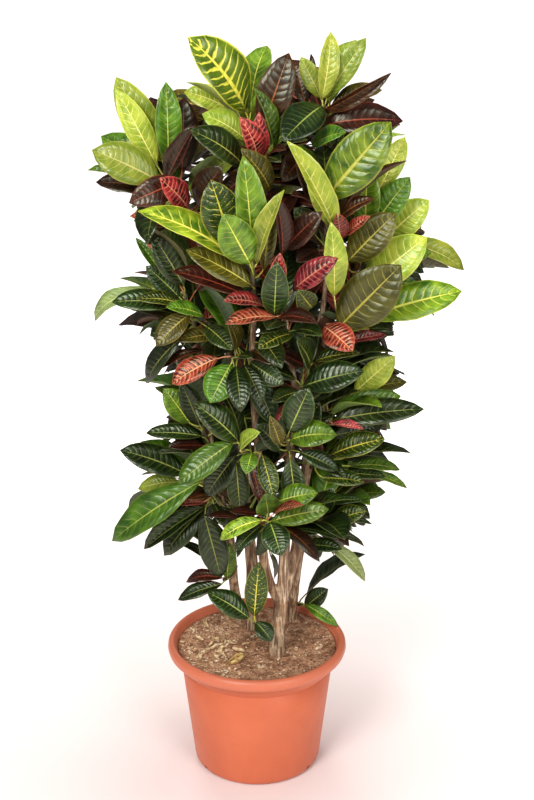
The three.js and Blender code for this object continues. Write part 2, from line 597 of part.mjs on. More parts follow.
/** A round, tapering length of wood along a curve. `grow` makes it larger all round. */
function woodAlong(curve, radii, sides, steps, grow = 0) {
  const geometry = new THREE.CylinderGeometry(1, 1, 1, sides, steps);
  const { position } = geometry.attributes;
  for (let i = 0; i < position.count; i++) {
    const along = position.getY(i) + 0.5;
    const line = curve.getTangentAt(along);
    const right = squareTo(ACROSS, line);
    const third = right.clone().cross(line);
    const radius = mix(radii[0], radii[1], along) + grow;
    const overrun = (along === 1 ? grow : 0) - (along === 0 ? grow : 0);
    const point = curve
      .getPointAt(along)
      .addScaledVector(right, position.getX(i) * radius)
      .addScaledVector(third, position.getZ(i) * radius)
      .addScaledVector(line, overrun);
    position.setXYZ(i, point.x, point.y, point.z);
  }
  return solidOf(geometry);
}

// ---- Leaves ----------------------------------------------------------------------------------------------

/**
 * The rings of a leaf: a three-sided stalk from its root in the twig to the blade's base, then the blade,
 * which is thickest along its midrib, comes to an edge at both sides, and folds up from the midrib.
 */
function leafRings(leaf, grow) {
  const { root, base, tip, face, width, fold, bow } = leaf;
  const chord = tip.clone().sub(base);
  const length = chord.length();
  const line = chord.clone().normalize();
  const side = line.clone().cross(face);
  const stalkLine = base.clone().sub(root).normalize();
  const bend = stalkLine.clone().add(line).normalize();
  const stalkTurn = new THREE.Quaternion().setFromUnitVectors(line, stalkLine);
  const baseTurn = new THREE.Quaternion().setFromUnitVectors(line, bend);
  const stalkRing = (centre, turn) => ({
    centre,
    edge: side.clone().applyQuaternion(turn).multiplyScalar(STALK * 1.2 + grow),
    lift: face.clone().applyQuaternion(turn).multiplyScalar(-(STALK + grow) / 2),
    depth: face.clone().applyQuaternion(turn).multiplyScalar(STALK + grow),
    corners: 3,
  });
  const rings = [stalkRing(root, stalkTurn), stalkRing(base, baseTurn)];
  for (const { share, half: outline, depth } of BLADE) {
    const half = (outline * width) / 2 + grow;
    rings.push({
      centre: base
        .clone()
        .addScaledVector(chord, share)
        .addScaledVector(face, bow * length * 4 * share * (1 - share)),
      edge: side.clone().multiplyScalar(half * Math.cos(fold)),
      lift: face.clone().multiplyScalar(half * Math.sin(fold)),
      depth: face.clone().multiplyScalar(depth + grow),
    });
  }
  const none = new THREE.Vector3();
  rings.push({ centre: tip.clone().addScaledVector(line, grow), edge: none, lift: none, depth: none });
  return rings;
}

/**
 * A leaf as a solid, with its stalk or as the blade alone. `grow` makes it larger all round. Every ring has
 * four corners to fill, and a three-cornered one puts its spare corner on its left one.
 */
function leafSolid(leaf, { grow = 0, stalk = true } = {}) {
  const rings = leafRings(leaf, grow).slice(stalk ? 0 : 1);
  const steps = rings.length - 1;
  const geometry = new THREE.CylinderGeometry(1, 1, 1, 4, steps);
  const { position } = geometry.attributes;
  for (let i = 0; i < position.count; i++) {
    const ring = rings[Math.round((position.getY(i) + 0.5) * steps)];
    const spare = ring.corners === 3 && Math.round(position.getZ(i)) === -1;
    const across = spare ? -1 : Math.round(position.getX(i));
    const out = spare ? 0 : Math.round(position.getZ(i));
    const point = ring.centre
      .clone()
      .addScaledVector(ring.edge, across)
      .addScaledVector(ring.lift, Math.abs(across))
      .addScaledVector(ring.depth, out);
    position.setXYZ(i, point.x, point.y, point.z);
  }
  return solidOf(geometry);
}

/** Which way a leaf's upper face looks: between the viewer and the sky, square to the leaf's line. */
function faceOf(base, tip, sky, turn) {
  const line = tip.clone().sub(base).normalize();
  const viewer = eye.clone().sub(base).normalize();
  const towards = viewer.multiplyScalar(Math.cos(sky * DEGREE)).addScaledVector(UP, Math.sin(sky * DEGREE));
  return squareTo(towards, line).applyAxisAngle(line, turn * DEGREE);
}

/**
 * Where on its twig a leaf with this base grows from: a little below the nearest point of the twig, and
 * stepped along it by the leaf's place in its table.
 */
function rootOn(curve, base, order) {
  const length = curve.getLength();
  let nearest = 0;
  for (let i = 0; i <= 24; i++) {
    if (curve.getPointAt(i / 24).distanceTo(base) < curve.getPointAt(nearest).distanceTo(base)) {
      nearest = i / 24;
    }
  }
  const down = 15 + ROOT_STEP * ((order * 2) % 5) - 2 * ROOT_STEP;
  const along = THREE.MathUtils.clamp(nearest - down / length, 14 / length, 1 - 3 / length);
  return curve.getPointAt(along);
}

// ---- The pot and its soil --------------------------------------------------------------------------------

const FOOT = 118.5; // radius of the pot above its rounded foot
const SHOULDER = 140.5; // and under the rim

const potInside = [
  [150.5, 238],
  [147, 228],
  [139.5, 214],
  [SHOULDER - POT_WALL, 204],
  [FOOT - POT_WALL, 16],
  [110, 4],
  [0, 4],
];

const potOutline = [
  [0, 0],
  [108, 0],
  [116, 5],
  [FOOT, 14],
  [SHOULDER, 204],
  [143, 206],
  [143.5, 214],
  [154, 219.5],
  [POT_RIM_RADIUS - 1.5, 228],
  [POT_RIM_RADIUS, 235],
  [POT_RIM_RADIUS - 2.5, 241.5],
  [157, POT_HEIGHT],
  ...potInside,
];

/** The pot's inside radius at a height. */
function insideRadius(height) {
  const above = potInside.findLastIndex((point) => point[1] > height);
  const [[topRadius, top], [lowRadius, low]] = potInside.slice(above, above + 2);
  return mix(lowRadius, topRadius, (height - low) / (top - low));
}

/** The pot, with its drain holes through the foot of its wall. */
function potSolid() {
  const holes = DRAIN_HOLE_TURNS.map((turn) => {
    const hole = new THREE.CylinderGeometry(DRAIN_HOLE_RADIUS, DRAIN_HOLE_RADIUS, 40, 8);
    hole.translate(0, -FOOT, 0).translate(0, 0, DRAIN_HOLE_HEIGHT);
    return solidOf(hole.rotateZ(turn * DEGREE));
  });
  return wasm.Manifold.difference([solidOf(turned(potOutline, POT_SIDES)), ...holes]);
}

/** How far the soil's surface stands above or below level at a place. */
function soilRelief(x, y) {
  return 1.6 * Math.sin(x / 13 + y / 29) * Math.cos(y / 17) + 1.1 * Math.sin(y / 9 - x / 21);
}

/** The soil, which fills the pot, with a plain hole for every trunk. */
function soilSolid(holes) {
  const edge = insideRadius(SOIL_EDGE) - SEAT_GAP;
  const wall = potInside
    .filter(([radius, height]) => height < SOIL_EDGE && radius > 0)
    .map(([radius, height]) => [radius - SEAT_GAP, height + SEAT_GAP])
    .reverse();
  const top = [edge, 0.75 * edge, 0.42 * edge, 0];
  const outline = [
    [0, 4 + SEAT_GAP],
    ...wall,
    ...top.map((radius) => [radius, mix(SOIL_TOP, SOIL_EDGE, (radius / edge) ** 4)]),
  ];
  const geometry = turned(outline, POT_SIDES);
  const { position } = geometry.attributes;
  for (let i = 0; i < position.count; i++) {
    const [x, y, z] = [position.getX(i), position.getY(i), position.getZ(i)];
    if (z > SOIL_EDGE + 0.01) {
      position.setZ(i, z + soilRelief(x, y));
    }
  }
  return wasm.Manifold.difference([solidOf(geometry), ...holes]);
}

// ---- The plant -------------------------------------------------------------------------------------------

/** A trunk's limbs as solids; the first one's line is carried on down into the soil. */
function limbSolids(trunk, grow = 0) {
  return trunk.limbs.map(({ radii, path }, i) => {
    const points = path.map(seen);
    if (i === 0) {
      points.unshift(points[0].clone().setZ(SOIL_TOP - ROOT_DEPTH));
    }
    return woodAlong(curveThrough(points), radii, LIMB_SIDES, path.length + 3, grow);
  });
}

/** A leaf from its row in a shoot's table. `shift` brings its tip forward, `roll` turns its face. */
function tableLeaf(curve, row, order, shift, roll) {
  const [across, down, front, tipAcross, tipDown, tipFront, share, fold, sky, turn, bow] = row;
  const base = seen([across, down, front + shift / 2]);
  const tip = seen([tipAcross, tipDown, tipFront + shift]);
  return {
    root: rootOn(curve, base, order),
    base,
    tip,
    face: faceOf(base, tip, sky, turn + roll),
    width: share * base.distanceTo(tip),
    fold: fold * DEGREE,
    bow,
  };
}

/** The settings of a spiral leaf: its place on the twig, its compass bearing and its size. */
function spiralRow({ count, from, to }, draw, i) {
  const along = mix(0.2, 0.98, (i + 0.5) / count);
  return {
    along,
    bearing: from + (((i * 137.508 + 40) % 360) / 360) * (to - from) + mix(-8, 8, draw()),
    rise: mix(8, 62, along) + mix(-8, 8, draw()),
    length: mix(152, 112, along) * mix(0.85, 1.12, draw()),
    share: mix(0.42, 0.56, draw()),
    fold: mix(12, 24, draw()),
    bow: mix(0.05, 0.13, draw()),
  };
}

/** A leaf of the spiral. `swing` turns it round the twig and `raise` tilts it up, in degrees. */
function spiralLeaf(curve, row, swing, raise) {
  const bearing = (row.bearing + swing) * DEGREE;
  const heading = (rise) =>
    new THREE.Vector3(
      Math.cos(bearing) * Math.cos(rise * DEGREE),
      Math.sin(bearing) * Math.cos(rise * DEGREE),
      Math.sin(rise * DEGREE),
    );
  const root = curve.getPointAt(row.along);
  const base = root.clone().addScaledVector(heading(row.rise + raise + 12), 0.22 * row.length);
  const tip = base.clone().addScaledVector(heading(row.rise + raise - 8), row.length);
  return {
    root,
    base,
    tip,
    face: squareTo(UP, tip.clone().sub(base).normalize()),
    width: row.share * row.length,
    fold: row.fold * DEGREE,
    bow: row.bow,
  };
}

const TABLE_BENDS = [0, 20, -20, 40, -40, 60, -60].flatMap((shift) =>
  [0, 15, -15, 30, -30].map((roll) => [shift, roll]),
);
const SPIRAL_BENDS = [0, 12, -12, 24, -24, 36, -36].flatMap((swing) =>
  [0, 10, -10, 20].map((raise) => [swing, raise]),
);

/** Whether two bounding boxes come within a gap of each other. */
function boxesMeet(a, b, gap) {
  return [0, 1, 2].every((i) => a.min[i] < b.max[i] + gap && b.min[i] < a.max[i] + gap);
}

/** Everything that stands so far, so that the next leaf can be bent clear of it. */
class Standing {
  constructor() {
    this.pieces = [];
  }

  /** Adds a solid that belongs to a shoot or, for a trunk or the pot, to its own name. */
  add(owner, solid, grown) {
    this.pieces.push({ owner, solid, grown, box: solid.boundingBox() });
  }

  /** The pieces that a solid comes too close to, among those that pass a test of their owner. */
  near(solid, wanted) {
    const box = solid.boundingBox();
    return this.pieces.filter(
      (piece) =>
        wanted(piece.owner) &&
        boxesMeet(box, piece.box, LEAF_GAP) &&
        solid.minGap(piece.solid, 2 * LEAF_GAP) < LEAF_GAP,
    );
  }
}

const standing = new Standing();
const blades = new Standing();

/** The first way of bending a leaf that keeps it clear of what stands, or the least bad one. */
function bentClear(owner, bends, leafAt) {
  let best = null;
  for (const [first, second] of bends) {
    const leaf = leafAt(first, second);
    const solid = leafSolid(leaf);
    const crossed = standing.near(solid, (other) => other !== owner);
    const blade = leafSolid(leaf, { stalk: false });
    const sisters = (other) => other === owner;
    const rubbed = [...standing.near(blade, sisters), ...blades.near(solid, sisters)];
    const cost = 20 * crossed.length + rubbed.length;
    if (best === null || cost < best.cost) {
      best = { leaf, solid, blade, cost, crossed };
    }
    if (cost === 0) {
      break;
    }
  }
  return best;
}

/** Keeps a leaf in its shoot and among what stands. */
function place(shoot, { leaf, solid, blade, crossed }) {
  shoot.solids.push(solid);
  shoot.cuts.push(...crossed.map((piece) => piece.grown()));
  standing.add(shoot.name, solid, () => leafSolid(leaf, { grow: SEAT_GAP }));
  blades.add(shoot.name, blade, null);
}

const trunks = TRUNKS.map((trunk) => ({
  name: trunk.name,
  limbs: limbSolids(trunk),
  grown: wasm.Manifold.union(limbSolids(trunk, SEAT_GAP)),
}));

const soil = soilSolid(trunks.map((trunk) => trunk.grown));
const pot = potSolid();
standing.add("pot", pot, null);
standing.add("soil", soil, null);
for (const trunk of trunks) {
  for (const limb of trunk.limbs) {
    standing.add(trunk.name, limb, () => trunk.grown);
  }
}

const shoots = SHOOTS.map((shoot, i) => {
  const curve = curveThrough(shoot.path.map(seen));
  const twigSolid = (grow) => woodAlong(curve, TWIG_RADII, TWIG_SIDES, TWIG_STEPS, grow);
  const twig = twigSolid(0);
  standing.add(shoot.name, twig, () => twigSolid(SEAT_GAP));
  return { ...shoot, curve, draw: draws(1000 + 77 * i), solids: [twig], cuts: [] };
});

// The leaves that the viewer sees come first, so that they keep their places.
for (const shoot of shoots) {
  shoot.leaves.forEach((row, order) => {
    const leafAt = (shift, roll) => tableLeaf(shoot.curve, row, order, shift, roll);
    place(shoot, bentClear(shoot.name, TABLE_BENDS, leafAt));
  });
}

// The spiral leaves fill in behind them, and one that can't be bent clear isn't there.
for (const shoot of shoots) {
  for (let i = 0; i < shoot.around.count; i++) {
    const row = spiralRow(shoot.around, shoot.draw, i);
    const leafAt = (swing, raise) => spiralLeaf(shoot.curve, row, swing, raise);
    const bent = bentClear(shoot.name, SPIRAL_BENDS, leafAt);
    if (bent.crossed.length === 0) {
      place(shoot, bent);
    }
  }
}

/** A shoot's twig and leaves as one body, seated on its limb and cut back where it would cross another. */
function shootSolid(shoot) {
  const whole = wasm.Manifold.union(shoot.solids);
  const limbs = trunks.map((trunk) => trunk.grown);
  const cut = wasm.Manifold.difference([whole, ...limbs, ...shoot.cuts]);
  return cut.decompose().reduce((a, b) => (a.volume() > b.volume() ? a : b));
}

// ---- The model -------------------------------------------------------------------------------------------

const group = new THREE.Group();

/** Adds a named piece of one colour. */
function addPiece(name, solid, colour) {
  const material = new THREE.MeshStandardMaterial({ color: colour, roughness: 0.6, flatShading: true });
  const mesh = new THREE.Mesh(geometryOf(solid), material);
  mesh.name = name;
  group.add(mesh);
}

addPiece("pot", pot, "#dd6f48");
addPiece("soil", soil, "#45342a");
for (const trunk of trunks) {
  addPiece(trunk.name, wasm.Manifold.union(trunk.limbs), "#7d6650");
}
for (const shoot of shoots) {
  const kinds = [...shoot.leaves.map((row) => row.at(-1)), ...(shoot.around.kinds ?? [])];
  const commonest = Object.keys(KIND_COLOURS).reduce((a, b) =>
    kinds.filter((kind) => kind === b).length > kinds.filter((kind) => kind === a).length ? b : a,
  );
  addPiece(shoot.name, shootSolid(shoot), KIND_COLOURS[commonest]);
}

export default group;
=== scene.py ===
"""A potted croton in a terracotta-coloured nursery pot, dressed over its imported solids.

Lengths are metres, +Z is up, and the origin is the middle of the pot's flat underside. +X is the viewer's
right and -Y faces the viewer.
"""

import logging
import math
from dataclasses import dataclass, field
from enum import Enum
from itertools import product
from typing import Callable, Iterator, Sequence

import bmesh
import bpy
from bmesh.types import BMesh, BMFace, BMLayerItem, BMVert
from bpy.types import Material, Node, NodeSocket, NodeTree, Object
from mathutils import Matrix, Quaternion, Vector, noise
from mathutils.bvhtree import BVHTree
from mathutils.kdtree import KDTree


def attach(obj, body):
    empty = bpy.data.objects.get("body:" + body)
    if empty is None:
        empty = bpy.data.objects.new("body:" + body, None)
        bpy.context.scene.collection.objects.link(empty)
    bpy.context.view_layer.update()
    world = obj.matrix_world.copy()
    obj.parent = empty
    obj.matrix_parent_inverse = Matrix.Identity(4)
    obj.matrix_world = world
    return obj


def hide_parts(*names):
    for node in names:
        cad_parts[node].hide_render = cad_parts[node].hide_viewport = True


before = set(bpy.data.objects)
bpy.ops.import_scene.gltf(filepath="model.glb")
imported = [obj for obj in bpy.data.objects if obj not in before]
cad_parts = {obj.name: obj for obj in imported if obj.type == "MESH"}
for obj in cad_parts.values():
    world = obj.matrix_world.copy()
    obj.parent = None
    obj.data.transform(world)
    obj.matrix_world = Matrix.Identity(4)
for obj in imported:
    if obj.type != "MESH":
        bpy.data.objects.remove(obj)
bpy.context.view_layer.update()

logging.basicConfig(level=logging.INFO, format="%(message)s")
log = logging.getLogger("croton")

Point = tuple[float, float, float]
Colour = tuple[float, float, float]
Draw = Callable[[], float]
Outline = tuple[tuple[float, float], ...]
MM = 0.001
GOLDEN_ANGLE = 137.508
DOUBLES = 0.001 * MM


# ---- The view that the plant was measured from -----------------------------------------


@dataclass(frozen=True)
class Lens:
    """The camera that the plant was measured from, with its picture's size in pixels."""

    place: Point = (0.0186, -2.31, 1.516)
    tilt: float = math.radians(19.23)
    focal: float = 1400.0
    middle: tuple[float, float] = (267.0, 400.0)
    frame_size: tuple[int, int] = (534, 800)

    def seen(self, across: float, down: float, front: float) -> Vector:
        """The place that is seen at a pixel.

        Args:
            across: pixels from the picture's left edge.
            down: pixels from its top edge.
            front: millimetres from the pot's axis towards the viewer.

        Returns:
            The place, in metres.
        """
        right = (across - self.middle[0]) / self.focal
        rise = (self.middle[1] - down) / self.focal
        ray = Vector(
            (
                right,
                math.cos(self.tilt) + rise * math.sin(self.tilt),
                -math.sin(self.tilt) + rise * math.cos(self.tilt),
            )
        )
        return Vector(self.place) + ray * ((-front * MM - self.place[1]) / ray.y)

    def pixel(self, point: Vector) -> tuple[float, float]:
        """Finds where in the picture a place is seen.

        Args:
            point: a point of the scene.

        Returns:
            Pixels across from the left and down from the top.
        """
        aside, away, up = point - Vector(self.place)
        depth = away * math.cos(self.tilt) - up * math.sin(self.tilt)
        rise = away * math.sin(self.tilt) + up * math.cos(self.tilt)
        return self.middle[0] + self.focal * aside / depth, self.middle[1] - self.focal * rise / depth


LENS = Lens()
UP = Vector((0.0, 0.0, 1.0))


def mix(start: float, end: float, share: float) -> float:
    """The number a share of the way from start to end."""
    return start + (end - start) * share


def square_to(direction: Vector, line: Vector) -> Vector:
    """The part of a direction that is square to a line, at unit length."""
    return (direction - line * direction.dot(line)).normalized()


def draws(seed: int) -> Draw:
    """Seeded draws between 0 and 1, the same on every run.

    Args:
        seed: where the draws start.

    Returns:
        A function that gives the next draw.
    """
    state = seed

    def draw() -> float:
        """Makes the next draw.

        Returns:
            A number from 0 up to 1.
        """
        nonlocal state
        state = (1664525 * state + 1013904223) % 2**32
        return state / 2**32

    return draw


class Line:
    """A smooth line through a few points, measured by its length."""

    def __init__(self, points: Sequence[Vector], steps: int = 200) -> None:
        """Keeps the points and measures the line.

        Args:
            points: what the line goes through, in order.
            steps: how many lengths it is measured in.
        """
        self.points = list(points)
        self.steps = steps
        self.stations = [self._on_spans(i / steps) for i in range(steps + 1)]
        self.lengths = [0.0]
        for before, after in zip(self.stations, self.stations[1:]):
            self.lengths.append(self.lengths[-1] + (after - before).length)

    def _on_spans(self, share: float) -> Vector:
        """A point by centripetal Catmull-Rom.

        Args:
            share: how far it is along the spans between the points, each counted alike.

        Returns:
            The point.
        """
        points = self.points
        place = (len(points) - 1) * share
        span = min(int(place), len(points) - 2)
        rest = place - span
        before = points[span - 1] if span > 0 else points[0] * 2 - points[1]
        after = points[span + 2] if span + 2 < len(points) else points[-1] * 2 - points[-2]
        knots = [before, points[span], points[span + 1], after]
        gaps = [math.sqrt((b - a).length) for a, b in zip(knots, knots[1:])]
        p0, p1, p2, p3 = knots
        d0, d1, d2 = gaps
        start = ((p1 - p0) / d0 - (p2 - p0) / (d0 + d1) + (p2 - p1) / d1) * d1
        end = ((p2 - p1) / d1 - (p3 - p1) / (d1 + d2) + (p3 - p2) / d2) * d1
        return (
            p1
            + start * rest
            + (p1 * -3 + p2 * 3 - start * 2 - end) * rest**2
            + (p1 * 2 - p2 * 2 + start + end) * rest**3
        )

    @property
    def length(self) -> float:
        """The line's whole length."""
        return self.lengths[-1]

    def at(self, share: float) -> Vector:
        """Finds a point of the line.

        Args:
            share: how far along its length.

        Returns:
            The point.
        """
        wanted = max(0.0, min(1.0, share)) * self.length
        step = next(i for i in range(1, self.steps + 1) if self.lengths[i] >= wanted - 1e-12)
        low, high = self.lengths[step - 1], self.lengths[step]
        part = (wanted - low) / (high - low)
        return self._on_spans((step - 1 + part) / self.steps)

    def heading(self, share: float) -> Vector:
        """The line's direction there."""
        return (self.at(share + 0.002) - self.at(share - 0.002)).normalized()


# ---- What grows where ------------------------------------------------------------------


class Kind(Enum):
    """The looks that this plant's leaves have."""

    LIME = "lime"
    GREEN = "green"
    VIVID = "vivid"
    DEEP = "deep"
    VEINED = "veined"
    FLECKED = "flecked"
    BRONZE = "bronze"
    OLIVE = "olive"
    CORAL = "coral"
    PALE = "pale"


@dataclass(frozen=True)
class Limb:
    """A length of wood: the radii at its ends, in millimetres, and its points as LENS sees them."""

    radii: tuple[float, float]
    path: tuple[Point, ...]

    @classmethod
    def through(cls, radii: tuple[float, float], *path: Point) -> "Limb":
        """A limb through the points that follow its radii."""
        return cls(radii, path)


@dataclass(frozen=True)
class Around:
    """Leaves set round a twig by the spiral rule: how many, between which bearings, and of which kinds."""

    count: int
    start: float
    end: float
    kinds: tuple[Kind, ...]


@dataclass(frozen=True)
class ShootPlan:
    """A leafy shoot: its twig's path, the leaves that the viewer sees and those round it.

    A leaf's row is its base and its tip, each as (across, down, front), then its width as a share of its
    length, how far each half folds up, how far its face turns from the viewer to the sky and about its own
    line, in degrees, how far it arches as a share of its length, and its kind.
    """

    name: str
    path: tuple[Point, ...]
    around: Around
    rows: tuple[tuple, ...]

    @classmethod
    def with_leaves(cls, name: str, path: tuple[Point, ...], around: Around, *rows: tuple) -> "ShootPlan":
        """A shoot with the leaves whose rows follow the rest."""
        return cls(name, path, around, rows)


LIME, GREEN, VIVID, DEEP, VEINED, FLECKED, BRONZE, OLIVE, CORAL, PALE = Kind

TRUNKS: dict[str, tuple[Limb, ...]] = {
    "trunk_front": (
        Limb.through((17, 13), (277, 652, 34), (278, 628, 30), (281, 603, 24)),
        Limb.through(
            (10, 5), (281, 606, 24), (267, 575, 33), (262, 540, 41), (262, 500, 50), (258, 455, 57),
            (254, 400, 66), (252, 350, 74), (255, 310, 82),
        ),
        Limb.through(
            (11, 7), (281, 606, 24), (284, 560, 29), (287, 500, 43), (290, 450, 57), (296, 392, 63),
        ),
        Limb.through(
            (6.5, 4), (296, 394, 63), (289, 350, 59), (280, 290, 36), (266, 235, 30), (256, 190, 33),
        ),
        Limb.through((6.5, 4), (296, 394, 63), (312, 352, 53), (322, 310, 45), (328, 262, 50)),
        Limb.through(
            (10, 4.5), (281, 606, 24), (291, 570, 8), (298, 530, 2), (306, 480, 8), (315, 440, 16),
            (326, 400, 16), (334, 350, 0), (345, 300, -12),
        ),
    ),
    "trunk_right": (
        Limb.through(
            (11, 4.5), (292, 619, -92), (295, 580, -70), (301, 540, -62), (304, 480, -75), (312, 420, -80),
            (322, 350, -78), (330, 280, -65), (334, 210, -44),
        ),
    ),
    "trunk_left": (
        Limb.through(
            (11, 4.5), (240, 619, -92), (234, 585, -66), (231, 545, -32), (222, 500, 0), (212, 450, 16),
            (205, 400, 16), (200, 350, 16),
        ),
    ),
    "trunk_back": (
        Limb.through(
            (14, 5), (252, 627, -60), (252, 565, -77), (247, 520, -93), (243, 460, -114), (236, 400, -112),
            (226, 330, -92), (210, 270, -65), (190, 222, -38),
        ),
        Limb.through((7, 4.5), (243, 462, -114), (255, 400, -140), (264, 330, -152), (264, 250, -144)),
    ),
}

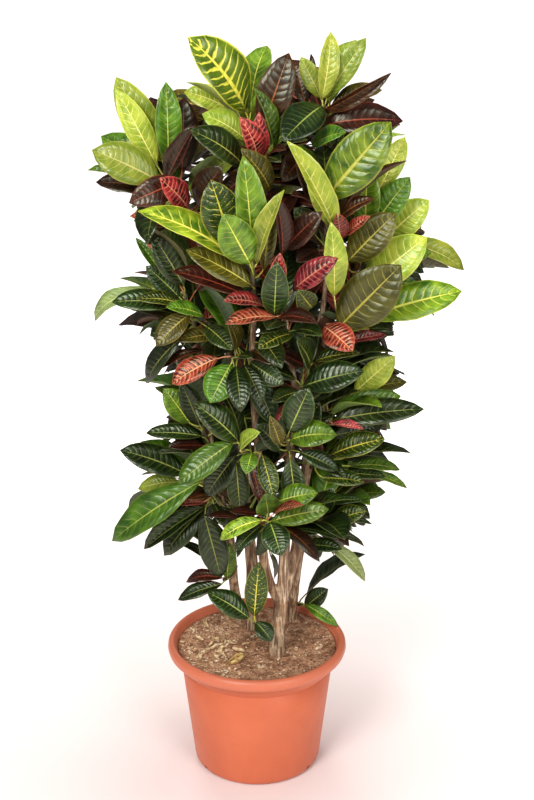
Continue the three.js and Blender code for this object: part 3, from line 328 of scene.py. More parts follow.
SHOOTS: tuple[ShootPlan, ...] = (
    ShootPlan.with_leaves(
        "shoot_crown_left", ((256, 192, 33), (252, 152, 43), (248, 120, 46)),
        Around(4, 10, 200, (GREEN, BRONZE, LIME)),
        (246, 112, 46, 188, 37, 99, 0.55, 18, 25, 15, 0.1, VEINED),
        (262, 130, 50, 289, 53, 50, 0.46, 15, 5, 0, 0.06, BRONZE),
        (232, 112, 8, 184, 92, 16, 0.55, 15, 35, 0, 0.12, LIME),
        (246, 140, 63, 202, 114, 82, 0.58, 12, 30, 0, 0.12, LIME),
        (249, 138, 36, 217, 90, 25, 0.4, 20, 20, 10, 0.08, DEEP),
        (256, 160, 66, 240, 117, 129, 0.42, 25, 30, 0, 0.12, CORAL),
        (260, 158, 69, 259, 112, 132, 0.38, 25, 25, 0, 0.12, CORAL),
        (274, 150, 66, 254, 88, 91, 0.36, 42, 10, 30, 0.05, GREEN),
        (250, 104, -25, 264, 66, -62, 0.45, 20, 20, 0, 0.08, DEEP),
        (244, 166, 82, 190, 130, 124, 0.5, 15, 35, 0, 0.1, DEEP),
        (270, 190, 82, 241, 149, 140, 0.4, 22, 30, -10, 0.1, OLIVE),
        (250, 172, 50, 219, 200, 82, 0.5, 16, 30, 0, 0.08, BRONZE),
        (254, 130, 16, 230, 62, 0, 0.45, 18, 5, 0, 0.05, LIME),
    ),
    ShootPlan.with_leaves(
        "shoot_crown_right", ((334, 212, -44), (329, 155, -28), (324, 108, -15)),
        Around(4, 0, 180, (LIME, GREEN, BRONZE)),
        (321, 98, -6, 301, 57, 0, 0.45, 20, 10, 0, 0.05, LIME),
        (322, 100, 0, 331, 32, -12, 0.36, 30, 5, 0, 0.08, LIME),
        (326, 98, -15, 366, 38, -6, 0.36, 25, 10, 0, 0.06, LIME),
        (330, 108, -25, 382, 90, -12, 0.45, 20, 45, 0, 0.1, OLIVE),
        (323, 112, 8, 391, 73, 50, 0.34, 58, 20, 35, 0.04, BRONZE),
        (322, 106, 25, 283, 141, 99, 0.6, 12, 30, 0, 0.08, DEEP),
        (312, 146, 33, 346, 132, 82, 0.5, 18, 35, 0, 0.08, GREEN),
        (320, 126, 8, 403, 121, 8, 0.42, 18, 25, 0, 0.12, BRONZE),
        (306, 108, -25, 295, 62, -50, 0.38, 20, 5, 0, 0.05, BRONZE),
        (308, 100, -19, 311, 54, -31, 0.34, 55, 0, 20, 0.05, BRONZE),
        (312, 148, 0, 282, 182, 41, 0.55, 15, 25, 0, 0.08, BRONZE),
        (338, 150, 0, 360, 96, 8, 0.42, 18, 10, 0, 0.05, GREEN),
    ),
    ShootPlan.with_leaves(
        "shoot_right_crown", ((328, 264, 50), (328, 232, 69), (324, 205, 82)),
        Around(3, 10, 170, (BRONZE, DEEP, GREEN)),
        (324, 200, 91, 391, 122, 99, 0.5, 14, 5, 0, 0.05, VIVID),
        (335, 230, 99, 287, 141, 140, 0.32, 48, 0, 25, 0.06, LIME),
        (336, 228, 99, 308, 166, 162, 0.36, 28, 10, 0, 0.05, LIME),
        (318, 205, 74, 296, 150, 116, 0.45, 20, 20, 0, 0.08, BRONZE),
        (334, 222, 74, 374, 198, 99, 0.38, 20, 40, 0, 0.1, BRONZE),
        (344, 236, 74, 370, 216, 102, 0.36, 28, 30, 0, 0.05, CORAL),
        (340, 240, 79, 337, 213, 116, 0.5, 20, 20, 0, 0.05, CORAL),
        (316, 236, 66, 294, 208, 102, 0.55, 16, 15, 0, 0.06, DEEP),
        (318, 250, 69, 296, 262, 109, 0.55, 16, 30, 0, 0.08, BRONZE),
    ),
    ShootPlan.with_leaves(
        "shoot_right_upper", ((345, 302, -12), (362, 268, -6), (374, 235, 0)),
        Around(4, -10, 170, (GREEN, LIME, OLIVE)),
        (373, 226, 20, 410, 177, 33, 0.5, 15, 10, 0, 0.06, GREEN),
        (384, 240, 0, 429, 200, 8, 0.58, 14, 15, 0, 0.08, LIME),
        (347, 262, 50, 396, 213, 63, 0.55, 14, 10, 0, 0.06, OLIVE),
        (364, 288, 20, 427, 237, 33, 0.55, 16, 15, 0, 0.06, LIME),
        (402, 243, -25, 464, 270, -19, 0.38, 22, 40, 0, 0.14, LIME),
        (378, 192, -31, 405, 137, -44, 0.42, 15, 5, 0, 0.05, LIME),
        (372, 222, -19, 396, 180, -38, 0.42, 18, 15, 0, 0.06, OLIVE),
        (366, 230, 16, 368, 166, 25, 0.5, 16, 10, 0, 0.05, GREEN),
        (372, 262, 0, 432, 252, -6, 0.42, 18, 35, 0, 0.08, GREEN),
    ),
    ShootPlan.with_leaves(
        "shoot_right_mid", ((334, 352, 0), (338, 336, 41), (342, 322, 63)),
        Around(3, -30, 150, (OLIVE, GREEN, CORAL)),
        (338, 328, 82, 401, 265, 106, 0.58, 14, 0, 0, 0.05, OLIVE),
        (362, 318, 25, 462, 291, 8, 0.38, 16, 20, 0, 0.06, VIVID),
        (344, 336, 25, 410, 314, 8, 0.34, 35, 60, 0, 0.08, PALE),
        (324, 326, 91, 353, 351, 140, 0.7, 15, 25, 0, 0.06, CORAL),
        (346, 342, 50, 386, 335, 41, 0.36, 30, 40, 0, 0.06, CORAL),
        (342, 344, 33, 373, 366, 25, 0.42, 20, 30, 0, 0.08, DEEP),
        (334, 296, 96, 331, 222, 145, 0.32, 28, 0, 15, 0.06, LIME),
    ),
    ShootPlan.with_leaves(
        "shoot_centre", ((289, 352, 59), (285, 328, 102), (284, 306, 129)),
        Around(3, 20, 160, (BRONZE, DEEP)),
        (293, 290, 145, 338, 258, 178, 0.44, 18, 20, 0, 0.08, CORAL),
        (274, 316, 140, 277, 262, 178, 0.46, 25, 10, 0, 0.05, DEEP),
        (312, 308, 132, 298, 290, 173, 0.6, 20, 20, 0, 0.05, FLECKED),
        (277, 317, 145, 225, 324, 178, 0.38, 20, 55, 0, 0.08, CORAL),
        (264, 306, 132, 223, 301, 168, 0.42, 25, 45, 0, 0.1, CORAL),
        (272, 292, 140, 280, 253, 178, 0.42, 32, 20, 20, 0.05, CORAL),
        (278, 318, 140, 317, 323, 172, 0.45, 18, 50, 0, 0.12, BRONZE),
        (292, 334, 102, 258, 349, 152, 0.5, 18, 45, 0, 0.1, FLECKED),
        (296, 330, 102, 322, 336, 152, 0.5, 18, 45, 0, 0.1, DEEP),
    ),
    ShootPlan.with_leaves(
        "shoot_centre_left", ((255, 312, 82), (254, 286, 129), (253, 262, 148)),
        Around(3, 30, 200, (BRONZE, DEEP, OLIVE)),
        (232, 246, 152, 211, 180, 173, 0.6, 14, 5, 0, 0.05, FLECKED),
        (252, 262, 162, 243, 156, 185, 0.34, 32, 0, 15, 0.05, GREEN),
        (250, 264, 173, 223, 214, 211, 0.58, 10, 0, 0, 0.05, GREEN),
        (257, 264, 165, 284, 190, 195, 0.34, 50, 0, -25, 0.08, LIME),
        (264, 270, 148, 272, 200, 162, 0.32, 42, 0, 0, 0.05, OLIVE),
        (240, 262, 157, 138, 211, 145, 0.42, 14, 30, 0, 0.08, VIVID),
        (252, 286, 140, 186, 250, 152, 0.42, 14, 35, 0, 0.06, OLIVE),
        (246, 296, 124, 172, 271, 119, 0.36, 20, 50, 0, 0.06, BRONZE),
        (282, 256, 132, 276, 197, 173, 0.34, 32, 5, 10, 0.05, BRONZE),
        (284, 250, 119, 322, 212, 148, 0.45, 15, 20, 0, 0.06, BRONZE),
    ),
    ShootPlan.with_leaves(
        "shoot_left_upper", ((190, 224, -38), (178, 200, -15), (168, 180, 0)),
        Around(4, 30, 210, (LIME, GREEN, BRONZE)),
        (163, 162, -6, 116, 77, -6, 0.4, 16, 5, 0, 0.05, LIME),
        (157, 166, 8, 117, 90, 20, 0.34, 22, 10, 0, 0.04, LIME),
        (168, 165, 30, 166, 82, 36, 0.36, 24, 0, 10, 0.04, GREEN),
        (160, 182, 33, 92, 150, 40, 0.55, 14, 20, 0, 0.08, LIME),
        (160, 176, 0, 101, 136, -15, 0.5, 14, 25, 0, 0.1, GREEN),
        (158, 190, 8, 96, 182, 0, 0.42, 18, 35, 0, 0.06, BRONZE),
        (152, 184, -19, 88, 170, -35, 0.32, 50, 30, 20, 0.04, GREEN),
        (182, 172, -25, 184, 97, -38, 0.45, 14, 5, 0, 0.05, BRONZE),
        (166, 182, 50, 196, 125, 91, 0.36, 40, 10, -20, 0.05, BRONZE),
        (182, 180, 66, 129, 203, 99, 0.5, 14, 40, 0, 0.1, BRONZE),
        (188, 208, 66, 160, 178, 129, 0.48, 18, 20, 0, 0.05, CORAL),
        (168, 226, 25, 130, 216, 50, 0.45, 20, 40, 0, 0.08, CORAL),
        (198, 206, 41, 222, 166, 102, 0.5, 15, 20, 0, 0.06, BRONZE),
    ),
    ShootPlan.with_leaves(
        "shoot_left_mid", ((200, 352, 16), (194, 324, 46), (184, 292, 59)),
        Around(3, 60, 230, (DEEP, GREEN, OLIVE)),
        (152, 288, 41, 95, 321, 16, 0.28, 25, 30, 0, 0.28, PALE),
        (175, 305, 58, 112, 302, 58, 0.42, 16, 35, 0, 0.08, DEEP),
        (180, 303, 82, 137, 299, 99, 0.42, 16, 45, 0, 0.08, FLECKED),
        (204, 316, 99, 166, 307, 135, 0.44, 16, 45, 0, 0.08, GREEN),
        (180, 298, 50, 146, 266, 50, 0.52, 14, 20, 0, 0.05, DEEP),
        (184, 286, 74, 153, 234, 79, 0.48, 16, 10, 0, 0.05, DEEP),
        (164, 276, 16, 136, 238, 8, 0.34, 48, 10, 0, 0.06, GREEN),
        (190, 314, 102, 156, 346, 129, 0.55, 14, 30, 0, 0.1, OLIVE),
        (206, 335, 79, 165, 340, 102, 0.34, 36, 50, 0, 0.06, CORAL),
        (222, 334, 91, 177, 341, 122, 0.42, 16, 45, 0, 0.06, OLIVE),
        (204, 350, 33, 162, 368, 25, 0.32, 32, 60, 0, 0.06, BRONZE),
        (188, 318, 58, 150, 336, 58, 0.55, 16, 35, 0, 0.08, DEEP),
        (196, 290, 66, 224, 262, 86, 0.5, 16, 25, 0, 0.06, BRONZE),
        (206, 326, 82, 232, 350, 119, 0.5, 16, 30, 0, 0.06, DEEP),
    ),
    ShootPlan.with_leaves(
        "shoot_middle_left", ((252, 352, 74), (240, 357, 99), (232, 358, 112)),
        Around(3, 30, 230, (DEEP, GREEN)),
        (231, 364, 112, 210, 403, 152, 0.75, 10, 20, 0, 0.06, GREEN),
        (236, 366, 112, 241, 412, 162, 0.5, 15, 30, 0, 0.12, DEEP),
        (244, 364, 99, 262, 403, 145, 0.5, 15, 20, 0, 0.1, DEEP),
        (250, 362, 96, 284, 384, 135, 0.55, 15, 30, 0, 0.08, DEEP),
        (252, 372, 86, 274, 424, 109, 0.46, 16, 15, 0, 0.06, DEEP),
        (218, 358, 82, 172, 384, 91, 0.5, 16, 35, 0, 0.08, CORAL),
        (236, 350, 102, 228, 322, 148, 0.4, 20, 20, 0, 0.08, OLIVE),
    ),
    ShootPlan.with_leaves(
        "shoot_middle_right", ((296, 396, 63), (300, 392, 82), (304, 386, 96)),
        Around(3, -40, 140, (DEEP,)),
        (303, 386, 106, 364, 371, 135, 0.5, 12, 20, 0, 0.08, DEEP),
        (312, 362, 82, 360, 353, 112, 0.36, 22, 50, 0, 0.06, FLECKED),
        (310, 366, 79, 297, 341, 125, 0.6, 15, 30, 0, 0.06, DEEP),
        (300, 392, 99, 272, 402, 148, 0.45, 18, 35, 0, 0.08, DEEP),
        (304, 366, 86, 276, 352, 106, 0.5, 16, 30, 0, 0.06, BRONZE),
        (312, 400, 79, 338, 382, 86, 0.5, 16, 20, 0, 0.06, DEEP),
    ),
    ShootPlan.with_leaves(
        "shoot_left_low", ((212, 452, 16), (207, 440, 33), (202, 424, 40)),
        Around(3, 70, 240, (DEEP, GREEN, DEEP)),
        (190, 424, 33, 164, 388, 33, 0.55, 12, 15, 0, 0.05, GREEN),
        (200, 426, 43, 181, 382, 53, 0.42, 16, 5, 0, 0.05, DEEP),
        (202, 436, 46, 146, 433, 43, 0.36, 20, 40, 0, 0.06, DEEP),
        (204, 446, 43, 168, 447, 69, 0.4, 20, 45, 0, 0.06, BRONZE),
    ),
    ShootPlan.with_leaves(
        "shoot_front_left", ((258, 458, 57), (247, 452, 98), (238, 446, 122)), Around(2, 60, 240, (DEEP,)),
        (238, 441, 129, 194, 403, 145, 0.52, 14, 30, 0, 0.08, DEEP),
        (233, 442, 135, 178, 484, 158, 0.42, 14, 20, 0, 0.08, GREEN),
        (240, 450, 138, 260, 432, 172, 0.5, 22, 40, 0, 0.1, LIME),
        (252, 452, 125, 246, 474, 163, 0.65, 15, 30, 0, 0.08, GREEN),
        (250, 460, 94, 262, 503, 118, 0.36, 30, 20, 0, 0.05, BRONZE),
        (262, 454, 98, 274, 498, 132, 0.45, 15, 10, 0, 0.05, FLECKED),
        (236, 455, 90, 206, 496, 95, 0.5, 15, 20, 0, 0.08, DEEP),
        (236, 462, 81, 240, 510, 84, 0.46, 16, 10, 0, 0.06, DEEP),
    ),
    ShootPlan.with_leaves(
        "shoot_left_base", ((222, 502, 0), (211, 491, 30), (201, 481, 52)),
        Around(4, 80, 260, (DEEP, GREEN, DEEP)),
        (186, 474, 63, 120, 450, 79, 0.46, 14, 30, 0, 0.08, DEEP),
        (200, 482, 92, 112, 541, 67, 0.32, 18, 30, 0, 0.06, GREEN),
        (180, 482, 34, 138, 489, 33, 0.45, 16, 35, 0, 0.1, LIME),
        (205, 506, 35, 144, 549, 34, 0.34, 45, 30, 0, 0.05, DEEP),
        (204, 502, 63, 176, 504, 84, 0.4, 28, 40, 0, 0.05, CORAL),
        (204, 514, 51, 221, 578, 59, 0.42, 14, 10, 0, 0.04, DEEP),
        (214, 494, 52, 190, 500, 108, 0.4, 20, 45, 0, 0.08, BRONZE),
    ),
    ShootPlan.with_leaves(
        "shoot_front_low", ((262, 542, 40), (264, 530, 84), (267, 521, 118)), Around(2, -20, 200, (DEEP,)),
        (262, 520, 127, 220, 540, 131, 0.38, 18, 30, 0, 0.2, VIVID),
        (271, 521, 126, 329, 509, 139, 0.42, 14, 25, 0, 0.05, GREEN),
        (270, 522, 125, 281, 556, 163, 0.75, 12, 35, 0, 0.08, DEEP),
        (262, 525, 113, 236, 550, 131, 0.5, 16, 40, 0, 0.1, DEEP),
        (268, 514, 117, 265, 494, 163, 0.6, 10, 20, 0, 0.05, GREEN),
        (273, 514, 112, 303, 505, 145, 0.36, 26, 50, 0, 0.05, CORAL),
        (276, 502, 110, 318, 493, 135, 0.55, 12, 20, 0, 0.1, GREEN),
        (258, 514, 96, 230, 512, 121, 0.4, 20, 50, 0, 0.06, BRONZE),
    ),
    ShootPlan.with_leaves(
        "shoot_front_mid", ((290, 453, 57), (288, 445, 99), (287, 437, 132)), Around(2, -20, 160, (DEEP,)),
        (289, 432, 142, 309, 388, 162, 0.58, 12, 0, 0, 0.05, DEEP),
        (290, 440, 142, 337, 435, 168, 0.6, 14, 30, 0, 0.14, GREEN),
        (280, 444, 132, 270, 416, 168, 0.4, 38, 10, 0, 0.05, OLIVE),
        (296, 442, 102, 320, 402, 122, 0.5, 15, 10, 0, 0.06, DEEP),
        (280, 450, 102, 256, 424, 139, 0.45, 18, 20, 0, 0.08, DEEP),
        (290, 458, 88, 296, 506, 94, 0.5, 16, 15, 0, 0.06, DEEP),
        (300, 452, 92, 338, 470, 101, 0.46, 16, 30, 0, 0.06, DEEP),
    ),
    ShootPlan.with_leaves(
        "shoot_right_middle", ((320, 426, 16), (325, 420, 41), (330, 412, 56)),
        Around(3, -60, 130, (GREEN, DEEP, OLIVE)),
        (332, 420, 66, 424, 409, 73, 0.32, 14, 25, 0, 0.06, DEEP),
        (332, 407, 56, 401, 396, 36, 0.36, 16, 30, 0, 0.08, GREEN),
        (346, 396, 23, 407, 382, 8, 0.36, 18, 40, 0, 0.08, OLIVE),
        (354, 392, 33, 395, 356, 30, 0.5, 14, 10, 0, 0.05, LIME),
        (350, 424, 25, 405, 413, 16, 0.32, 20, 35, 0, 0.06, PALE),
        (332, 424, 74, 363, 429, 92, 0.36, 40, 45, 0, 0.05, CORAL),
        (332, 436, 50, 378, 426, 36, 0.4, 18, 40, 0, 0.08, DEEP),
    ),
    ShootPlan.with_leaves(
        "shoot_right_low", ((309, 468, 10), (316, 464, 32), (324, 458, 49)),
        Around(3, -70, 120, (DEEP, GREEN, FLECKED)),
        (330, 455, 62, 385, 439, 69, 0.48, 16, 30, 0, 0.08, FLECKED),
        (322, 478, 59, 364, 482, 73, 0.45, 16, 40, 0, 0.06, FLECKED),
        (350, 466, 29, 400, 470, 24, 0.34, 20, 50, 0, 0.1, GREEN),
        (342, 474, 23, 386, 477, 16, 0.36, 20, 45, 0, 0.06, DEEP),
        (358, 472, 13, 407, 488, 3, 0.22, 28, 40, 0, 0.1, GREEN),
        (322, 462, 58, 346, 478, 102, 0.45, 15, 30, 0, 0.1, DEEP),
        (314, 460, 49, 306, 430, 99, 0.45, 18, 15, 0, 0.06, BRONZE),
    ),
    ShootPlan.with_leaves(
        "shoot_right_base", ((299, 528, 2), (310, 524, 25), (321, 521, 41)),
        Around(3, -70, 110, (DEEP, FLECKED, GREEN)),
        (330, 523, 51, 366, 511, 70, 0.54, 14, 30, 0, 0.08, FLECKED),
        (326, 502, 28, 362, 500, 37, 0.36, 18, 45, 0, 0.06, DEEP),
        (320, 514, 43, 334, 488, 66, 0.52, 15, 20, 0, 0.06, DEEP),
        (302, 545, 46, 342, 549, 60, 0.42, 16, 40, 0, 0.08, DEEP),
        (322, 540, 35, 365, 581, 38, 0.28, 28, 40, 0, 0.14, PALE),
        (324, 531, 20, 364, 546, 6, 0.24, 40, 50, 0, 0.08, DEEP),
        (330, 520, 6, 372, 524, -11, 0.24, 40, 50, 0, 0.06, DEEP),
        (318, 526, 45, 339, 535, 72, 0.5, 15, 45, 0, 0.08, OLIVE),
    ),
    ShootPlan.with_leaves(
        "shoot_foot_left", ((236, 566, -49), (230, 576, -15), (224, 580, 5)),
        Around(2, 110, 260, (DEEP, DEEP, GREEN)),
        (222, 584, 12, 178, 600, 16, 0.38, 16, 40, 0, 0.08, DEEP),
        (222, 578, 0, 186, 582, -8, 0.44, 16, 45, 0, 0.2, BRONZE),
        (227, 578, 18, 230, 543, 30, 0.4, 20, 5, 0, 0.05, GREEN),
        (216, 566, -5, 174, 541, -11, 0.24, 36, 50, 0, 0.12, DEEP),
    ),
    ShootPlan.with_leaves(
        "shoot_foot_front", ((276, 642, 32), (263, 632, 48), (254, 622, 56)), Around(0, 0, 90, (DEEP,)),
        (249, 618, 62, 207, 592, 64, 0.52, 14, 30, 0, 0.08, DEEP),
        (254, 616, 64, 259, 562, 68, 0.4, 16, 5, 0, 0.05, FLECKED),
        (256, 622, 64, 272, 641, 90, 0.75, 12, 35, 0, 0.06, DEEP),
    ),
    ShootPlan.with_leaves(
        "shoot_foot_right", ((293, 600, -104), (298, 604, -92), (302, 604, -84)),
        Around(1, 0, 90, (DEEP, GREEN)),
        (305, 607, -76, 328, 589, -66, 0.6, 14, 15, 0, 0.05, DEEP),
        (305, 604, -78, 338, 626, -52, 0.32, 22, 45, 0, 0.08, GREEN),
    ),
    ShootPlan.with_leaves(
        "shoot_back_crown_left", ((264, 252, -144), (250, 200, -140), (240, 140, -125)),
        Around(8, 0, 360, (LIME, BRONZE, GREEN, FLECKED)),
    ),
    ShootPlan.with_leaves(
        "shoot_back_crown_right", ((331, 272, -64), (338, 220, -112), (342, 165, -138)),
        Around(8, 0, 360, (LIME, GREEN, BRONZE, LIME)),
    ),
    ShootPlan.with_leaves(
        "shoot_back_upper_left", ((226, 332, -92), (208, 300, -131), (196, 262, -150)),
        Around(8, 0, 360, (GREEN, BRONZE, OLIVE, CORAL)),
    ),
    ShootPlan.with_leaves(
        "shoot_back_upper_right", ((322, 352, -78), (342, 318, -119), (356, 280, -140)),
        Around(8, 0, 360, (GREEN, OLIVE, LIME, CORAL)),
    ),
    ShootPlan.with_leaves(
        "shoot_back_middle", ((261, 352, -150), (272, 310, -178), (284, 272, -188)),
        Around(8, 0, 360, (BRONZE, GREEN, OLIVE, DEEP)),
    ),
    ShootPlan.with_leaves(
        "shoot_back_low_left", ((240, 432, -114), (222, 408, -144), (212, 380, -158)),
        Around(8, 0, 360, (DEEP, GREEN, DEEP, FLECKED)),
    ),
    ShootPlan.with_leaves(
        "shoot_back_low_right", ((312, 422, -80), (332, 402, -120), (344, 374, -140)),
        Around(8, 0, 360, (DEEP, FLECKED, GREEN, DEEP)),
    ),
    ShootPlan.with_leaves(
        "shoot_back_foot_left", ((248, 528, -91), (234, 512, -127), (226, 488, -148)),
        Around(8, 0, 360, (DEEP, GREEN, FLECKED)),
    ),
    ShootPlan.with_leaves(
        "shoot_back_foot_right", ((302, 528, -63), (316, 514, -104), (326, 488, -128)),
        Around(8, 0, 360, (DEEP, DEEP, GREEN)),
    ),
)


# ---- Materials: shared node groups -----------------------------------------------------


def srgb(code: str) -> Colour:
    """A colour written as six hexadecimal digits, as linear light."""
    parts = [int(code[i : i + 2], 16) / 255 for i in (0, 2, 4)]
    return tuple(p / 12.92 if p <= 0.04045 else ((p + 0.055) / 1.055) ** 2.4 for p in parts)


class Graph:
    """Shorthand for laying out shader nodes in a node tree."""

    def __init__(self, tree: NodeTree) -> None:
        """Keeps the tree that the nodes go into."""
        self.tree = tree

    def node(self, kind: str, inputs: dict | None = None, **settings: object) -> Node:
        """Adds a node.

        Args:
            kind: the node's type name, without ShaderNode.
            inputs: a value or an output socket for each input, by name or number.
            settings: the node's own settings.

        Returns:
            The node.
        """
        made = self.tree.nodes.new("ShaderNode" + kind)
        for name, value in settings.items():
            setattr(made, name, value)
        self.dress(made, inputs or {})
        return made

    def dress(self, node: Node, inputs: dict) -> None:
        """Links a node's inputs, or sets their own numbers and colours.

        Args:
            node: the node.
            inputs: a value or an output socket for each input, by name or number.
        """
        for name, value in inputs.items():
            socket = node.inputs[name]
            if isinstance(value, NodeSocket):
                self.tree.links.new(value, socket)
            elif socket.type == "RGBA":
                socket.default_value = (*value, 1.0)
            else:
                socket.default_value = value

    def maths(self, operation: str, *values: object) -> NodeSocket:
        """A Math node's result."""
        return self.node("Math", dict(enumerate(values)), operation=operation).outputs[0]

    def blend(self, share: object, first: object, second: object) -> NodeSocket:
        """Two colours mixed."""
        return self.node("Mix", {0: share, 6: first, 7: second}, data_type="RGBA").outputs[2]

    def ramp(
        self, value: object, low: float, high: float, to_low: float = 0.0, to_high: float = 1.0
    ) -> NodeSocket:
        """Eases a value from one range into another, and keeps it there.

        Args:
            value: the value.
            low: where its range starts.
            high: where its range ends.
            to_low: what low becomes.
            to_high: what high becomes.

        Returns:
            The eased value.
        """
        inputs = {0: value, 1: low, 2: high, 3: to_low, 4: to_high}
        return self.node("MapRange", inputs, interpolation_type="SMOOTHSTEP").outputs[0]

    def noise(self, vector: object, scale: float, detail: float = 3.0, rough: float = 0.5) -> NodeSocket:
        """Smooth noise, from 0 to 1."""
        inputs = {"Vector": vector, "Scale": scale, "Detail": detail, "Roughness": rough}
        return self.node("TexNoise", inputs).outputs[0]

    def place(self) -> NodeSocket:
        """Where on the object a point is, in metres."""
        return self.node("TexCoord").outputs["Object"]

    def squeezed(self, place: object, upright: float) -> NodeSocket:
        """A place with its height scaled, which stretches or flattens what is drawn by it."""
        return self.node("Mapping", {"Vector": place, "Scale": (1.0, 1.0, upright)}).outputs[0]

    def bump(self, height: object, strength: float, distance: float) -> NodeSocket:
        """The normal that a height gives, with its distance in metres."""
        return self.node("Bump", {"Strength": strength, "Distance": distance, "Height": height}).outputs[0]


def new_group(
    name: str, colours: Sequence[str], numbers: Sequence[str], gives: Sequence[str]
) -> tuple[Graph, dict[str, NodeSocket], Node]:
    """Starts a shader node group that puts out a colour. Each material sets all of its inputs.

    Args:
        name: the group's name.
        colours: its inputs that take colours.
        numbers: its inputs that take numbers.
        gives: the numbers that it puts out besides its Color.

    Returns:
        A Graph of its tree, its input sockets by name and its output node.
    """
    tree = bpy.data.node_groups.new(name, "ShaderNodeTree")
    wanted = (
        ("INPUT", "Color", colours), ("INPUT", "Float", numbers),
        ("OUTPUT", "Color", ("Color",)), ("OUTPUT", "Float", gives),
    )
    for side, kind, names in wanted:
        for key in names:
            tree.interface.new_socket(key, in_out=side, socket_type="NodeSocket" + kind)
    entry = tree.nodes.new("NodeGroupInput")
    leave = tree.nodes.new("NodeGroupOutput")
    return Graph(tree), {socket.name: socket for socket in entry.outputs}, leave


class Finish:
    """What all finishes share: a material with the Principled shader, which each finish dresses."""

    def sockets(self, g: Graph, pattern: NodeTree | None) -> dict[str, object]:
        """What goes into the shader's inputs, which each finish says for itself.

        Args:
            g: a Graph of the material's nodes.
            pattern: the node group that draws the finish, where it has one.

        Returns:
            A value or an output socket for each input that the finish sets, by name.
        """
        raise NotImplementedError

    def material(self, name: str, pattern: NodeTree | None = None) -> Material:
        """Makes the material.

        Args:
            name: what it is called.
            pattern: the node group that draws the finish, where it has one.

        Returns:
            The material.
        """
        made = bpy.data.materials.new(name)
        made.use_nodes = True
        graph = Graph(made.node_tree)
        graph.dress(made.node_tree.nodes["Principled BSDF"], self.sockets(graph, pattern))
        return made


